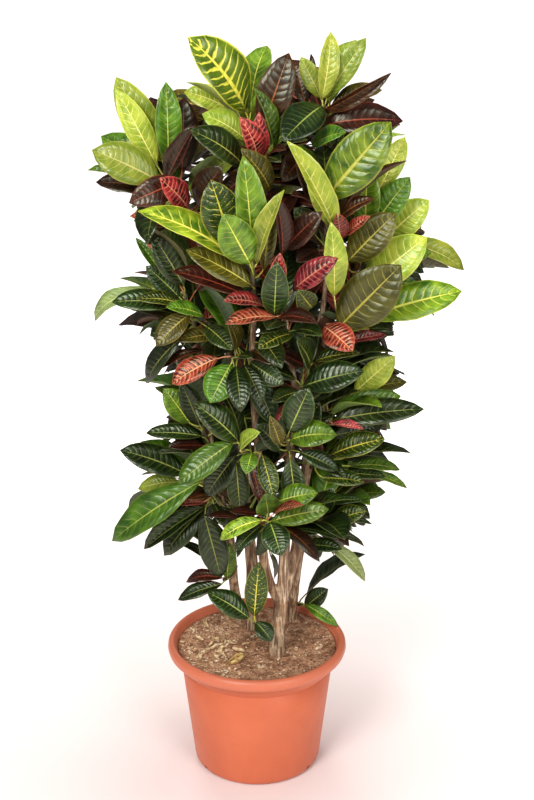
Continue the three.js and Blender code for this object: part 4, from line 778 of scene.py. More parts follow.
class LeafPattern:
    """The node group that draws a leaf on its UV map: midrib, side veins, blotches, underside, and a random
    brightness that inner leaves keep low as painted shade.
    """

    COLOURS = ("Blade", "Tint", "Vein", "Blotch", "Under")
    NUMBERS = ("Midrib", "Vein Width", "Vein Strength", "Blotch Amount", "Edge Strength", "Broken", "Gloss")
    VEIN_PAIRS = 11.0
    VEIN_SLOPE = 1.6
    RIB_WIDENING = (1.35, 0.35)
    VEIN_WIDENING = (1.9, 0.45)
    HUES = (0.485, 0.512)
    BRIGHTNESS = (0.58, 1.25)

    def build(self) -> NodeTree:
        """Lays the group's nodes out.

        Returns:
            The group, with outputs Color, Roughness and Height.
        """
        g, taken, leave = new_group("leaf pattern", self.COLOURS, self.NUMBERS, ("Roughness", "Height"))
        uv = g.node("UVMap", uv_map="blade").outputs[0]
        split = g.node("SeparateXYZ", {0: uv})
        along = split.outputs[1]
        across = g.maths("ABSOLUTE", g.maths("MULTIPLY_ADD", split.outputs[0], 2.0, -1.0))
        marks = g.node("Attribute", attribute_name="leaf_marks").outputs["Color"]
        tone_and_shade, under, seed = g.node("SeparateColor", {0: marks}).outputs[:3]
        shifts = {0: g.maths("MULTIPLY", seed, 31.0), 1: g.maths("MULTIPLY", tone_and_shade, 17.0)}
        shift = g.node("CombineXYZ", shifts).outputs[0]
        place = g.node("VectorMath", {0: uv, 1: shift}, operation="ADD").outputs[0]
        stretched = g.node("VectorMath", {0: place, 1: (1.0, 2.6, 1.0)}, operation="MULTIPLY").outputs[0]
        patches = g.noise(stretched, 2.2, 3.0)
        fine = g.noise(stretched, 9.0, 4.0)

        rib_edge = g.maths("MULTIPLY", taken["Midrib"], g.ramp(along, 0.0, 1.0, *self.RIB_WIDENING))
        rib = g.maths("SUBTRACT", 1.0, g.ramp(g.maths("DIVIDE", across, rib_edge), 0.55, 1.25))
        wobble = g.maths("MULTIPLY", g.maths("SUBTRACT", patches, 0.5), 1.1)
        slant = g.maths("MULTIPLY", g.maths("POWER", across, 1.35), self.VEIN_SLOPE)
        pairs = g.maths("MULTIPLY", along, self.VEIN_PAIRS)
        phase = g.maths("ADD", g.maths("SUBTRACT", pairs, slant), wobble)
        ripple = g.maths("ABSOLUTE", g.maths("SUBTRACT", g.maths("FRACT", phase), 0.5))
        soft = g.maths("MULTIPLY", taken["Vein Width"], g.ramp(across, 0.0, 1.0, *self.VEIN_WIDENING))
        vein = g.maths("SUBTRACT", 1.0, g.ramp(g.maths("DIVIDE", ripple, soft), 0.45, 1.35))
        fading = g.ramp(across, 0.55, 1.0, 1.0, 0.25)
        kept = g.ramp(g.noise(place, 7.0, 1.0), 0.42, 0.56)
        kept = g.maths("SUBTRACT", 1.0, g.maths("MULTIPLY", taken["Broken"], g.maths("SUBTRACT", 1.0, kept)))
        vein = g.maths("MULTIPLY", g.maths("MULTIPLY", vein, fading), taken["Vein Strength"])
        vein = g.maths("MULTIPLY", vein, kept)
        edge = g.maths("MULTIPLY", g.ramp(across, 0.9, 1.0), taken["Edge Strength"])
        flecks = g.maths("MULTIPLY", g.ramp(g.noise(stretched, 24.0, 1.0), 0.68, 0.74), taken["Broken"])
        lines = g.maths("MAXIMUM", g.maths("MAXIMUM", rib, vein), g.maths("MAXIMUM", edge, flecks))

        blade = g.blend(g.ramp(patches, 0.3, 0.7), taken["Blade"], taken["Tint"])
        clouds = g.maths("ADD", g.noise(place, 4.5, 3.0), g.maths("MULTIPLY", ripple, 0.3))
        blotched = g.ramp(clouds, 0.54, 0.7)
        blade = g.blend(g.maths("MULTIPLY", blotched, taken["Blotch Amount"]), blade, taken["Blotch"])
        colour = g.blend(lines, blade, taken["Vein"])
        # Lighter or darker at random, and kept dark on inner leaves as painted shade.
        hue, lift = g.ramp(seed, 0.0, 1.0, *self.HUES), g.ramp(tone_and_shade, 0.0, 1.0, *self.BRIGHTNESS)
        colour = g.node("HueSaturation", {"Hue": hue, "Value": lift, "Color": colour}).outputs[0]
        below = g.blend(g.maths("MULTIPLY", lines, 0.35), taken["Under"], taken["Vein"])
        colour = g.blend(under, colour, below)
        gloss = g.maths("ADD", taken["Gloss"], g.maths("MULTIPLY", fine, 0.14))
        gloss = g.maths("ADD", gloss, g.maths("MULTIPLY", under, 0.25))
        quilt = g.maths("MULTIPLY", g.maths("SINE", g.maths("MULTIPLY", ripple, math.pi)), fading)
        height = g.maths("SUBTRACT", quilt, g.maths("MULTIPLY", rib, 0.9))
        height = g.maths("ADD", height, g.maths("MULTIPLY", fine, 0.2))
        g.dress(leave, {"Color": colour, "Roughness": gloss, "Height": height})
        return g.tree


@dataclass(frozen=True)
class LeafFinish(Finish):
    """One look of leaf. Colours are sRGB codes, and widths are shares of the blade or of the vein spacing."""

    blade: str
    tint: str
    vein: str
    under: str
    midrib: float = 0.05
    vein_width: float = 0.035
    vein_strength: float = 0.5
    blotch: str = "2a120e"
    blotch_amount: float = 0.0
    edge: float = 0.25
    broken: float = 0.2
    gloss: float = 0.25
    quilt: float = 0.45

    RELIEF = 1.7 * MM

    def sockets(self, g: Graph, pattern: NodeTree | None) -> dict[str, object]:
        """The leaf pattern with this look's values, over a waxy leaf's gloss.

        Args:
            g: a Graph of the material's nodes.
            pattern: the leaf pattern group.

        Returns:
            What goes into the shader's inputs, by name.
        """
        values = {
            "Blade": srgb(self.blade),
            "Tint": srgb(self.tint),
            "Vein": srgb(self.vein),
            "Blotch": srgb(self.blotch),
            "Under": srgb(self.under),
            "Midrib": self.midrib,
            "Vein Width": self.vein_width,
            "Vein Strength": self.vein_strength,
            "Blotch Amount": self.blotch_amount,
            "Edge Strength": self.edge,
            "Broken": self.broken,
            "Gloss": self.gloss,
        }
        leaf = g.node("Group", values, node_tree=pattern).outputs
        return {
            "Base Color": leaf["Color"],
            "Roughness": leaf["Roughness"],
            "Normal": g.bump(leaf["Height"], self.quilt, self.RELIEF),
            "Specular IOR Level": 0.55,
            "Specular Tint": (0.9, 1.0, 0.78),
            "Coat Weight": 0.06,
            "Coat Roughness": 0.3,
        }


FINISHES: dict[Kind, LeafFinish] = {
    LIME: LeafFinish("7a9424", "a6b43c", "ece87c", "87964a", vein_strength=0.6, edge=0.35, quilt=0.3),
    GREEN: LeafFinish("2f520b", "5a821a", "bcc450", "5f7a38", vein_strength=0.35),
    VIVID: LeafFinish(
        "2c580a", "8ca822", "e2e05c", "5f7a38", midrib=0.075, vein_width=0.05, vein_strength=0.55, edge=0.5
    ),
    DEEP: LeafFinish(
        "0c1806", "1f360c", "98a248", "33422a", vein_width=0.032, vein_strength=0.4, quilt=0.34
    ),
    VEINED: LeafFinish(
        "34500c", "587414", "dede4c", "66743a", midrib=0.09, vein_width=0.1, vein_strength=0.85, edge=0.7
    ),
    FLECKED: LeafFinish(
        "172a09", "2c4610", "ccc646", "4c5a2c",
        midrib=0.06, vein_width=0.045, vein_strength=0.8, broken=0.95, edge=0.35,
    ),
    BRONZE: LeafFinish(
        "200c06", "3c1c0c", "a0522e", "44291c", vein_width=0.03, vein_strength=0.3, gloss=0.26, quilt=0.25
    ),
    OLIVE: LeafFinish("36320a", "565012", "b8a844", "4c4828", vein_strength=0.45, gloss=0.28, quilt=0.4),
    CORAL: LeafFinish(
        "8e2220", "b24034", "f0a078", "a4553c",
        midrib=0.07, vein_width=0.06, vein_strength=0.7, blotch="2a0c0a", blotch_amount=0.9,
    ),
    PALE: LeafFinish(
        "6c7e46", "869858", "bac47c", "848f66", midrib=0.07, vein_width=0.1, vein_strength=0.3, gloss=0.34
    ),
}


# ---- Shared mesh work ------------------------------------------------------------------


def tube(bm: BMesh, line: Line, radius: Callable[[float], float], sides: int, steps: int) -> list[BMFace]:
    """Adds a closed round length along a line, from a sheet rolled up.

    Args:
        bm: the mesh that it goes into.
        line: the line that it follows.
        radius: its radius at each share of the line.
        sides: how many faces go round it.
        steps: how many go along it.

    Returns:
        Its faces.
    """
    old = set(bm.faces)
    sheet = bmesh.ops.create_grid(bm, x_segments=sides, y_segments=steps, size=0.5, calc_uvs=True)["verts"]
    frames = []
    reference = Vector((1.0, 0.0, 0.0))
    for i in range(steps + 1):
        heading = line.heading(min(0.998, max(0.002, i / steps)))
        reference = square_to(reference, heading)
        frames.append((line.at(i / steps), reference.copy(), heading.cross(reference)))
    for vertex in sheet:
        share = vertex.co.y + 0.5
        centre, right, out = frames[round(share * steps)]
        angle = (vertex.co.x + 0.5) * math.tau
        vertex.co = centre + (right * math.cos(angle) + out * math.sin(angle)) * radius(share)
    seam = [vertex for vertex in sheet if vertex.is_boundary]
    bmesh.ops.remove_doubles(bm, verts=seam, dist=DOUBLES)
    rims = [edge for edge in bm.edges if edge.is_boundary and old.isdisjoint(edge.link_faces)]
    bmesh.ops.holes_fill(bm, edges=rims, sides=sides + 1)
    faces = [face for face in bm.faces if face not in old]
    bmesh.ops.recalc_face_normals(bm, faces=faces)
    for face in faces:
        face.smooth = True
    return faces


def faces_at(vertices: Sequence[BMVert]) -> list[BMFace]:
    """The faces that meet some vertices, each once, in the same order on every run."""
    return list(dict.fromkeys(face for vertex in vertices for face in vertex.link_faces))


def turned(outline: Sequence[tuple[float, float]], steps: int) -> BMesh:
    """A closed form turned about the pot's axis, as on a lathe.

    Args:
        outline: the radius and height of each point, in metres.
        steps: how many faces go round.

    Returns:
        The form.
    """
    bm = bmesh.new()
    points = [bm.verts.new((radius, 0, height)) for radius, height in outline]
    edges = [bm.edges.new(pair) for pair in zip(points, points[1:])]
    bmesh.ops.spin(
        bm, geom=points + edges, axis=(0, 0, 1), cent=(0, 0, 0), angle=math.tau, steps=steps, use_merge=True
    )
    bmesh.ops.remove_doubles(bm, verts=bm.verts, dist=DOUBLES)
    bmesh.ops.recalc_face_normals(bm, faces=bm.faces)
    for face in bm.faces:
        face.smooth = True
    return bm


def placed(bm: BMesh, name: str) -> Object:
    """Puts a mesh into the scene as an object. The bmesh is used up.

    Args:
        bm: the mesh.
        name: what the object is called.

    Returns:
        The object.
    """
    mesh = bpy.data.meshes.new(name)
    bm.to_mesh(mesh)
    bm.free()
    made = bpy.data.objects.new(name, mesh)
    bpy.context.scene.collection.objects.link(made)
    return made


def carried_out(*holders: Object) -> BMesh:
    """The first object's mesh with its modifiers carried out. The objects are removed.

    Args:
        holders: objects, the one to carry out first.

    Returns:
        The mesh.
    """
    made = bmesh.new()
    made.from_object(holders[0], bpy.context.evaluated_depsgraph_get())
    for holder in holders:
        bpy.data.objects.remove(holder)
    return made


def finished(bm: BMesh, name: str, materials: Sequence[Material], node: str | None) -> Object:
    """Turns a mesh into a piece of the object, on the frame.

    Args:
        bm: the mesh, in place.
        name: the piece's name.
        materials: its materials, in the order of its faces' numbers.
        node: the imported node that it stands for, if any.

    Returns:
        The piece.
    """
    piece = placed(bm, name)
    for material in materials:
        piece.data.materials.append(material)
    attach(piece, "root")
    if node is not None:
        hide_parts(node)
    log.info("made %s, %d faces", name, len(piece.data.polygons))
    return piece


# ---- Foliage ---------------------------------------------------------------------------


@dataclass(frozen=True)
class Leaf:
    """One leaf: where it grows from, where its blade starts and ends, and its shape."""

    root: Vector
    base: Vector
    tip: Vector
    face: Vector
    width: float
    fold: float
    bow: float

    CAD_RINGS = ((0.3, 0.88), (0.7, 0.9))
    SHEET_SHARES = (0.03, 0.2, 0.45, 0.7, 0.9, 1.0)
    FULLNESS = 0.66

    @property
    def chord(self) -> Vector:
        """From the blade's base to its tip."""
        return self.tip - self.base

    @property
    def side(self) -> Vector:
        """The direction across the blade."""
        return self.chord.normalized().cross(self.face)

    def half_width(self, share: float) -> float:
        """Half the blade's width at a share of its length."""
        outline = max(0.0, math.sin(math.pi * min(1.0, share**1.06))) ** self.FULLNESS
        return max(self.width / 2 * outline, 0.9 * MM if share < 0.5 else 0.3 * MM)

    def _arch(self, share: float) -> float:
        """How far the blade arches up at a share of its length."""
        return self.bow * self.chord.length * 4 * share * (1 - share)

    def point(self, across: float, share: float, ripple: float = 0.0) -> Vector:
        """A place on the blade.

        Args:
            across: from -1 at one edge to 1 at the other.
            share: from 0 at the base to 1 at the tip.
            ripple: how far it is lifted off the plain shape, in metres.

        Returns:
            The place.
        """
        half = self.half_width(share)
        rise = half * math.sin(self.fold) * abs(across) ** 1.15 + self._arch(share) + ripple
        aside = self.side * (across * half * math.cos(self.fold))
        return self.base + self.chord * share + self.face * rise + aside

    def measured_points(self) -> list[Vector]:
        """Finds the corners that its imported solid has.

        Returns:
            The points of its edges and its tip.
        """
        points = [self.tip]
        for share, outline in self.CAD_RINGS:
            half = outline * self.width / 2
            rise = self._arch(share) + half * math.sin(self.fold)
            centre = self.base + self.chord * share + self.face * rise
            points += [centre + self.side * (turn * half * math.cos(self.fold)) for turn in (-1, 1)]
        return points

    def outline_sheet(self) -> tuple[list[Vector], list[tuple[int, ...]]]:
        """Makes a rough sheet of stalk and blade, to find room with.

        Returns:
            Its points, three to a row, and its faces.
        """
        points = [self.root.lerp(self.base, 0.45)]
        faces = [(0, 1, 3)]
        for row, share in enumerate(self.SHEET_SHARES):
            points += [self.point(across, share) for across in (-1, 0, 1)]
            if row:
                corner = 1 + 3 * (row - 1)
                faces += [(corner + i, corner + i + 1, corner + i + 4, corner + i + 3) for i in (0, 1)]
        return points, faces


def face_of(base: Vector, tip: Vector, sky: float, turn: float) -> Vector:
    """Which way a leaf's upper face looks.

    Args:
        base: where the blade starts.
        tip: where it ends.
        sky: degrees from the viewer towards the sky.
        turn: degrees about the leaf's own line.

    Returns:
        The direction, square to the leaf's line.
    """
    line = (tip - base).normalized()
    viewer = (Vector(LENS.place) - base).normalized()
    towards = viewer * math.cos(math.radians(sky)) + UP * math.sin(math.radians(sky))
    return Quaternion(line, math.radians(turn)) @ square_to(towards, line)


def compass(bearing: float, rise: float) -> Vector:
    """Turns a bearing into a direction.

    Args:
        bearing: degrees round from the right, towards the back.
        rise: degrees above level.

    Returns:
        The direction, one long.
    """
    level = math.cos(math.radians(rise))
    turn = math.radians(bearing)
    return Vector((math.cos(turn) * level, math.sin(turn) * level, math.sin(math.radians(rise))))


class Blades:
    """Draws leaves into a mesh: a bent sheet with thickness for each blade, and a stalk."""

    SEEN_GRID = (4, 10)
    INNER_GRID = (2, 9)
    STALK_RADIUS = 1.3 * MM
    THICKNESS = 0.7 * MM
    WAVES = (1.5, 3.0)
    TWIST = (-0.2, 0.2)
    RIPPLE = (0.007, 0.02)
    # How light inner leaves may be drawn, on the viewer's side and on the far side: painted shade inside the
    # plant.
    NEAR_SHADED_TONE = 0.25
    FAR_SHADED_TONE = 0.8
    FAR_SIDE = 0.12

    def __init__(self, seed: int) -> None:
        """Starts an empty mesh.

        Args:
            seed: where the draws for the leaves' small differences start.
        """
        self.draw = draws(seed)
        self.bm = bmesh.new()
        self.uv = self.bm.loops.layers.uv.new("blade")
        self.marks = self.bm.loops.layers.float_color.new("leaf_marks")

    def add(self, leaf: Leaf, kind: Kind) -> None:
        """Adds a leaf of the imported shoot."""
        self._blade(leaf, kind, self.SEEN_GRID, 1.0)
        self._stalk(leaf, kind)

    def add_inner(self, leaf: Leaf, kind: Kind) -> None:
        """Adds an inner leaf, which is plainer, and painted darker as shade inside the plant, most on the
        viewer's side.

        Args:
            leaf: the leaf.
            kind: how it looks.
        """
        far = leaf.point(0, 0.6).y > self.FAR_SIDE
        self._blade(leaf, kind, self.INNER_GRID, self.FAR_SHADED_TONE if far else self.NEAR_SHADED_TONE)
        self._stalk(leaf, kind)

    def _blade(self, leaf: Leaf, kind: Kind, grid: tuple[int, int], brightest: float) -> None:
        """Adds a leaf's blade, rippled along its edges and a little twisted.

        Args:
            leaf: the leaf.
            kind: how it looks.
            grid: how many faces go across it and along it.
            brightest: how light it may be drawn at most; below 1 it paints the shade inside the plant.
        """
        across, along = grid
        sheet = bmesh.ops.create_grid(
            self.bm, x_segments=across, y_segments=along, size=0.5, calc_uvs=True
        )["verts"]
        faces = faces_at(sheet)
        waves, twist = mix(*self.WAVES, self.draw()), mix(*self.TWIST, self.draw())
        start, depth = self.draw() * math.tau, mix(*self.RIPPLE, self.draw()) * leaf.chord.length
        for vertex in sheet:
            across, share = vertex.co.x * 2, vertex.co.y + 0.5
            half = leaf.half_width(share)
            swell = depth * (2 * half / leaf.width) * across**2
            ripple = swell * math.sin(start + waves * math.tau * share + (1.3 if across > 0 else 0.0))
            vertex.co = leaf.point(across, share, ripple + half * across * twist * (share - 0.3))
        for face in faces:
            face.normal_update()
        if sum((face.normal for face in faces), Vector()).dot(leaf.face) < 0:
            bmesh.ops.reverse_faces(self.bm, faces=faces)
        before = set(self.bm.faces) - set(faces)
        bmesh.ops.solidify(self.bm, geom=faces, thickness=self.THICKNESS)
        # A random brightness, capped lower on inner leaves as painted shade.
        tone_and_shade, seed = self.draw() * brightest, self.draw()
        for face in set(self.bm.faces) - before:
            face.normal_update()
            face.material_index = list(Kind).index(kind)
            face.smooth = True
            below = 1.0 if face.normal.dot(leaf.face) < -0.1 else 0.0
            for loop in face.loops:
                loop[self.marks] = (tone_and_shade, below, seed, 1.0)

    def _stalk(self, leaf: Leaf, kind: Kind) -> None:
        """Adds the stalk that carries a leaf's blade.

        Args:
            leaf: the leaf.
            kind: how it looks.
        """
        reach = (leaf.base - leaf.root).length
        lead = leaf.root.lerp(leaf.base, 0.6) - leaf.chord.normalized() * (0.15 * reach)
        line = Line([leaf.root, lead, leaf.base + leaf.chord * 0.04], steps=16)
        for face in tube(self.bm, line, lambda share: self.STALK_RADIUS * mix(1.35, 0.8, share), 5, 3):
            face.material_index = list(Kind).index(kind)
            for loop in face.loops:
                loop[self.uv].uv = (0.5, 0.04)
                loop[self.marks] = (0.45, 0.0, 0.5, 1.0)

    def add_twig(self, line: Line, radii: tuple[float, float]) -> None:
        """Adds the twig that the leaves stand on.

        Args:
            line: the line that it follows.
            radii: its radius at both ends.
        """

        def knotted(share: float) -> float:
            """The twig's radius, with a swelling at each knot."""
            return mix(*radii, share) * (1 + 0.1 * math.sin(share * 40))

        for face in tube(self.bm, line, knotted, 8, 14):
            face.material_index = len(Kind)


class Reach:
    """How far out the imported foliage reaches, so that no further leaf stands out of it.

    It is measured in bands of height and compass sectors about the plant's middle, and in rows of pixels.
    """

    BAND = 70 * MM
    SECTORS = 18
    ROW = 16
    MIDDLE = (30 * MM, 40 * MM)
    NO_EDGES = (1e9, -1e9)
    EDGE_MARGIN = 2
    OUTERMOST = 0.97

    def __init__(self) -> None:
        """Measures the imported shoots."""
        self.far: dict[tuple[int, int], float] = {}
        self.edges: dict[int, tuple[float, float]] = {}
        for plan in SHOOTS:
            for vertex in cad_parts[plan.name].data.vertices:
                key, radius = self._place(vertex.co)
                self.far[key] = max(self.far.get(key, 0.0), radius)
                across, down = LENS.pixel(vertex.co)
                left, right = self.edges.get(int(down / self.ROW), self.NO_EDGES)
                self.edges[int(down / self.ROW)] = (min(left, across), max(right, across))

    def _place(self, point: Vector) -> tuple[tuple[int, int], float]:
        """Finds a point's part of the foliage.

        Args:
            point: a point of the scene.

        Returns:
            Its height band and compass sector, and its distance from the plant's middle.
        """
        x, y = point.x - self.MIDDLE[0], point.y - self.MIDDLE[1]
        sector = int(math.atan2(y, x) / math.tau * self.SECTORS) % self.SECTORS
        return (int(point.z / self.BAND), sector), math.hypot(x, y)

    def share(self, point: Vector) -> float:
        """Measures how far out a point is.

        Args:
            point: a point of the scene.

        Returns:
            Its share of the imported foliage's reach there.
        """
        (band, sector), radius = self._place(point)
        sectors = [(sector + i) % self.SECTORS for i in (-1, 0, 1)]
        far = max(self.far.get((b, s), 0.001) for b in (band - 1, band, band + 1) for s in sectors)
        return radius / far

    def holds(self, point: Vector) -> bool:
        """Tells whether a point is inside the foliage's form.

        Args:
            point: a point of the scene.

        Returns:
            True where it is, both as the viewer sees it and in plan.
        """
        across, down = LENS.pixel(point)
        left, right = self.edges.get(int(down / self.ROW), self.NO_EDGES)
        inside = left + self.EDGE_MARGIN < across < right - self.EDGE_MARGIN
        return inside and self.share(point) < self.OUTERMOST


class Sheets:
    """Leaves and wood gathered in one tree, to see what a line of sight meets."""

    def __init__(self) -> None:
        """Starts empty."""
        self.points: list[Vector] = []
        self.faces: list[tuple[int, ...]] = []
        self.tree: BVHTree | None = None

    def add(self, points: list[Vector], faces: list[tuple[int, ...]]) -> None:
        """Adds a mesh.

        Args:
            points: its points.
            faces: its faces, as places in the points.
        """
        first = len(self.points)
        self.points += points
        self.faces += [tuple(corner + first for corner in face) for face in faces]
        self.tree = None

    def stops(self, start: Vector, ray: Vector) -> bool:
        """Tells whether something stands in a line of sight.

        Args:
            start: where it starts.
            ray: where it goes.

        Returns:
            True where something does.
        """
        if self.tree is None:
            self.tree = BVHTree.FromPolygons(self.points, self.faces)
        return self.tree.ray_cast(start, ray)[0] is not None

    def windows(self, eye: Vector, spots: Sequence[Vector]) -> list[Vector]:
        """Those of the spots that lie on a line of sight from the eye that nothing stops."""
        return [spot for spot in spots if not self.stops(eye, (spot - eye).normalized())]


@dataclass
class Stem:
    """A twig or limb, and the inner leaves that grow from it."""

    line: Line
    inner: list[tuple[Leaf, Kind]] = field(default_factory=list)


class Thicket:
    """The plant's leaves and wood as they stand so far, in which room is found for further leaves.

    SWINGS and RAISES are in degrees. STEMS_SEEN holds the left, top, right and foot of the parts of the
    picture where stems show, and MAY_HIDE is how many points of a further leaf may hide what is seen.
    """

    CLEARANCE = 1.2 * MM
    SWINGS = (0, 18, -18, 36, -36, 56, -56, 80, -80)
    RAISES = (0, 14, -14, 28)
    SIZES = (1.0, 0.8)
    LOWEST = 0.42
    HIGHEST = 1.24
    HALF_WIDTH = 0.288
    STEMS_SEEN = ((279, 443, 294, 492), (299, 446, 321, 488), (268, 338, 300, 392), (240, 540, 305, 640))
    MAY_HIDE = 2
    CENTRE = Vector((*Reach.MIDDLE, 0.8))
    WINDOWS_WITHIN = 0.8
    WAYS = 9
    STALKS = (0.02, 0.05)
    NEAR = (0.03, 0.13)
    SPANS = (1.0, 0.65, 0.45)
    DEPTHS = (0.02, 0.06, -0.02, 0.1)
    OUTER = 0.72
    CROWN_FROM = 1.0
    MIDDLE_FROM = 0.72

    def __init__(self) -> None:
        """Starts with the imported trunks."""
        self.reach = Reach()
        self.pieces: list[tuple[Vector, float, BVHTree]] = []
        self.everything = Sheets()
        self.seen = Sheets()
        self.wood = Sheets()
        for name in TRUNKS:
            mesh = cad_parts[name].data
            points = [vertex.co.copy() for vertex in mesh.vertices]
            faces = [tuple(face.vertices) for face in mesh.polygons]
            self._keep(points, faces)
            self.wood.add(points, faces)

    def _keep(self, points: list[Vector], faces: list[tuple[int, ...]]) -> None:
        """Keeps a mesh that further leaves stay clear of.

        Args:
            points: its points.
            faces: its faces, as places in the points.
        """
        centre = sum(points, Vector()) / len(points)
        radius = max((point - centre).length for point in points)
        self.pieces.append((centre, radius, BVHTree.FromPolygons(points, faces, epsilon=self.CLEARANCE)))
        self.everything.add(points, faces)

    def keep(self, leaf: Leaf) -> None:
        """Keeps a leaf that further ones stay clear of."""
        self._keep(*leaf.outline_sheet())

    def keep_seen(self, leaf: Leaf) -> None:
        """Keeps a leaf that further ones stay clear of, and don't hide from the viewer."""
        self.keep(leaf)
        self.seen.add(*leaf.outline_sheet())

    def hides(self, point: Vector) -> bool:
        """Tells whether something at a point would hide a seen leaf or a stem that shows.

        Args:
            point: a point of the scene.

        Returns:
            True where it would.
        """
        across, down = LENS.pixel(point)
        ray = (point - Vector(LENS.place)).normalized()
        if any(left < across < right and top < down < foot for left, top, right, foot in self.STEMS_SEEN):
            return self.seen.stops(point, ray) or self.wood.stops(point, ray)
        return self.seen.stops(point, ray)

    def has_room(self, leaf: Leaf) -> bool:
        """Whether a leaf stands clear of the others, inside the foliage's form, and hides little.

        Args:
            leaf: the leaf.

        Returns:
            Whether there is room for it.
        """
        points, faces = leaf.outline_sheet()
        heights = [point.z for point in points]
        if min(heights) < self.LOWEST or max(heights) > self.HIGHEST:
            return False
        blade, centre = points[4:], points[8]
        if not all(map(self.reach.holds, blade[1::2])):
            return False
        radius = max((point - centre).length for point in points)
        tree = BVHTree.FromPolygons(points, faces, epsilon=self.CLEARANCE)
        for middle, size, other in self.pieces:
            if (centre - middle).length < radius + size and tree.overlap(other):
                return False
        return sum(map(self.hides, blade)) <= self.MAY_HIDE

    def grow(self, line: Line, start: float, count: int, draw: Draw) -> list[tuple[Leaf, Kind]]:
        """Grows leaves in a spiral up a stem, each where it finds room.

        Args:
            line: the stem's line.
            start: the first leaf's share of the line.
            count: how many leaves to try.
            draw: the stem's draws.

        Returns:
            The leaves that found room, and their kinds.
        """
        grown = []
        for i in range(count):
            root = line.at(mix(start, 0.97, (i + draw()) / count))
            bearing = i * GOLDEN_ANGLE + mix(-25, 25, draw())
            values = [draw() for _ in range(6)]
            leaf = next(filter(self.has_room, self._bends(root, bearing, values)), None)
            if leaf is not None:
                self.keep(leaf)
                grown.append((leaf, self._kind(leaf, draw())))
        return grown

    def _spots(self, eye: Vector, step: float) -> list[Vector]:
        """A grid of places across the plant's middle, square to the look from an eye.

        Args:
            eye: where the plant is seen from.
            step: the distance from one place to the next.

        Returns:
            The places inside the foliage's form, from the lowest row up.
        """
        aside = (self.CENTRE - eye).normalized().cross(UP).normalized()
        lowest = self.LOWEST + 0.02
        rises = [lowest + i * step for i in range(int((self.HIGHEST - lowest) / step))]
        swings = [i * step - self.HALF_WIDTH for i in range(int(2 * self.HALF_WIDTH / step) + 1)]
        ups = [UP * (rise - self.CENTRE.z) for rise in rises]
        spots = [self.CENTRE + aside * swing + up for up in ups for swing in swings]
        return [spot for spot in spots if self.reach.share(spot) < self.WINDOWS_WITHIN]

    def close_windows(self, eye: Vector, step: float, stems: Sequence[Stem], draw: Draw) -> None:
        """Grows leaves where one would see right through the plant.

        Args:
            eye: where it is seen from.
            step: the distance from one line of sight to the next, at the plant.
            stems: the stems that the leaves may grow from.
            draw: the draws.
        """
        windows = self.everything.windows(eye, self._spots(eye, step))
        roots = [(stem, stem.line.at(i / 12)) for stem in stems for i in range(2, 13)]
        grown, tried, left = 0, len(windows), 0
        while windows:
            ray = (windows.pop(0) - eye).normalized()
            ways = self._ways_across(eye, ray, roots, draw)
            stem, leaf = next((way for way in ways if self.has_room(way[1])), (None, None))
            if leaf is None:
                left += 1
                continue
            self.keep(leaf)
            stem.inner.append((leaf, self._kind(leaf, draw())))
            sheet = Sheets()
            sheet.add(*leaf.outline_sheet())
            windows = sheet.windows(eye, windows)
            grown += 1
        log.info("%d windows, %d leaves grown to close them, %d left", tried, grown, left)

    def _ways_across(
        self, eye: Vector, ray: Vector, roots: Sequence[tuple[Stem, Vector]], draw: Draw
    ) -> Iterator[tuple[Stem, Leaf]]:
        """The ways that a leaf may stand across a line of sight, from the nearest roots on.

        Args:
            eye: where the line of sight starts.
            ray: its direction.
            roots: the places that a leaf may grow from, each with its stem.
            draw: the draws.

        Returns:
            Stems, each with a leaf that would grow from it, one after the other.
        """
        near = []
        for stem, root in roots:
            beside = eye + ray * (root - eye).dot(ray)
            if self.NEAR[0] < (beside - root).length < self.NEAR[1]:
                near.append(((beside - root).length, stem, root, beside))
        near.sort(key=lambda way: round(way[0], 6))
        for _, stem, root, beside in near[: self.WAYS]:
            for behind, size in product(self.DEPTHS, self.SPANS):
                towards = beside + ray * behind - root
                length, width = mix(0.095, 0.13, draw()) * size, mix(0.42, 0.52, draw())
                stalk = min(self.STALKS[1], max(self.STALKS[0], towards.length - 0.55 * length))
                base = root + towards.normalized() * stalk
                tip = base + (towards.normalized() - UP * 0.12).normalized() * length
                face = square_to(UP * 0.8 - ray * 0.7, (tip - base).normalized())
                yield stem, Leaf(root, base, tip, face, width * length, math.radians(14), 0.08)

    def _bends(self, root: Vector, bearing: float, values: Sequence[float]) -> Iterator[Leaf]:
        """The ways that a leaf may stand, from the likeliest on.

        Args:
            root: where it grows from.
            bearing: the compass bearing that it would take, in degrees.
            values: six draws for its rise, length, width, fold, bow and stalk.

        Returns:
            The leaves, one after the other.
        """
        rise = mix(-38, 34, values[0])
        length = mix(92, 142, values[1]) * MM
        width, fold, bow = mix(0.38, 0.52, values[2]), mix(8, 22, values[3]), mix(0.04, 0.16, values[4])
        outward = Vector((root.x - Reach.MIDDLE[0], root.y - Reach.MIDDLE[1], 0.0)).normalized()
        for size, swing, raised in product(self.SIZES, self.SWINGS, self.RAISES):
            base = root + compass(bearing + swing, rise + raised + 25) * mix(18, 42, values[5]) * MM
            tip = base + compass(bearing + swing, rise + raised - 8) * (length * size)
            look = UP * 0.75 + outward * 0.35 + compass(bearing + swing, 0) * 0.35
            face = square_to(look, (tip - base).normalized())
            yield Leaf(root, base, tip, face, width * length * size, math.radians(fold), bow)

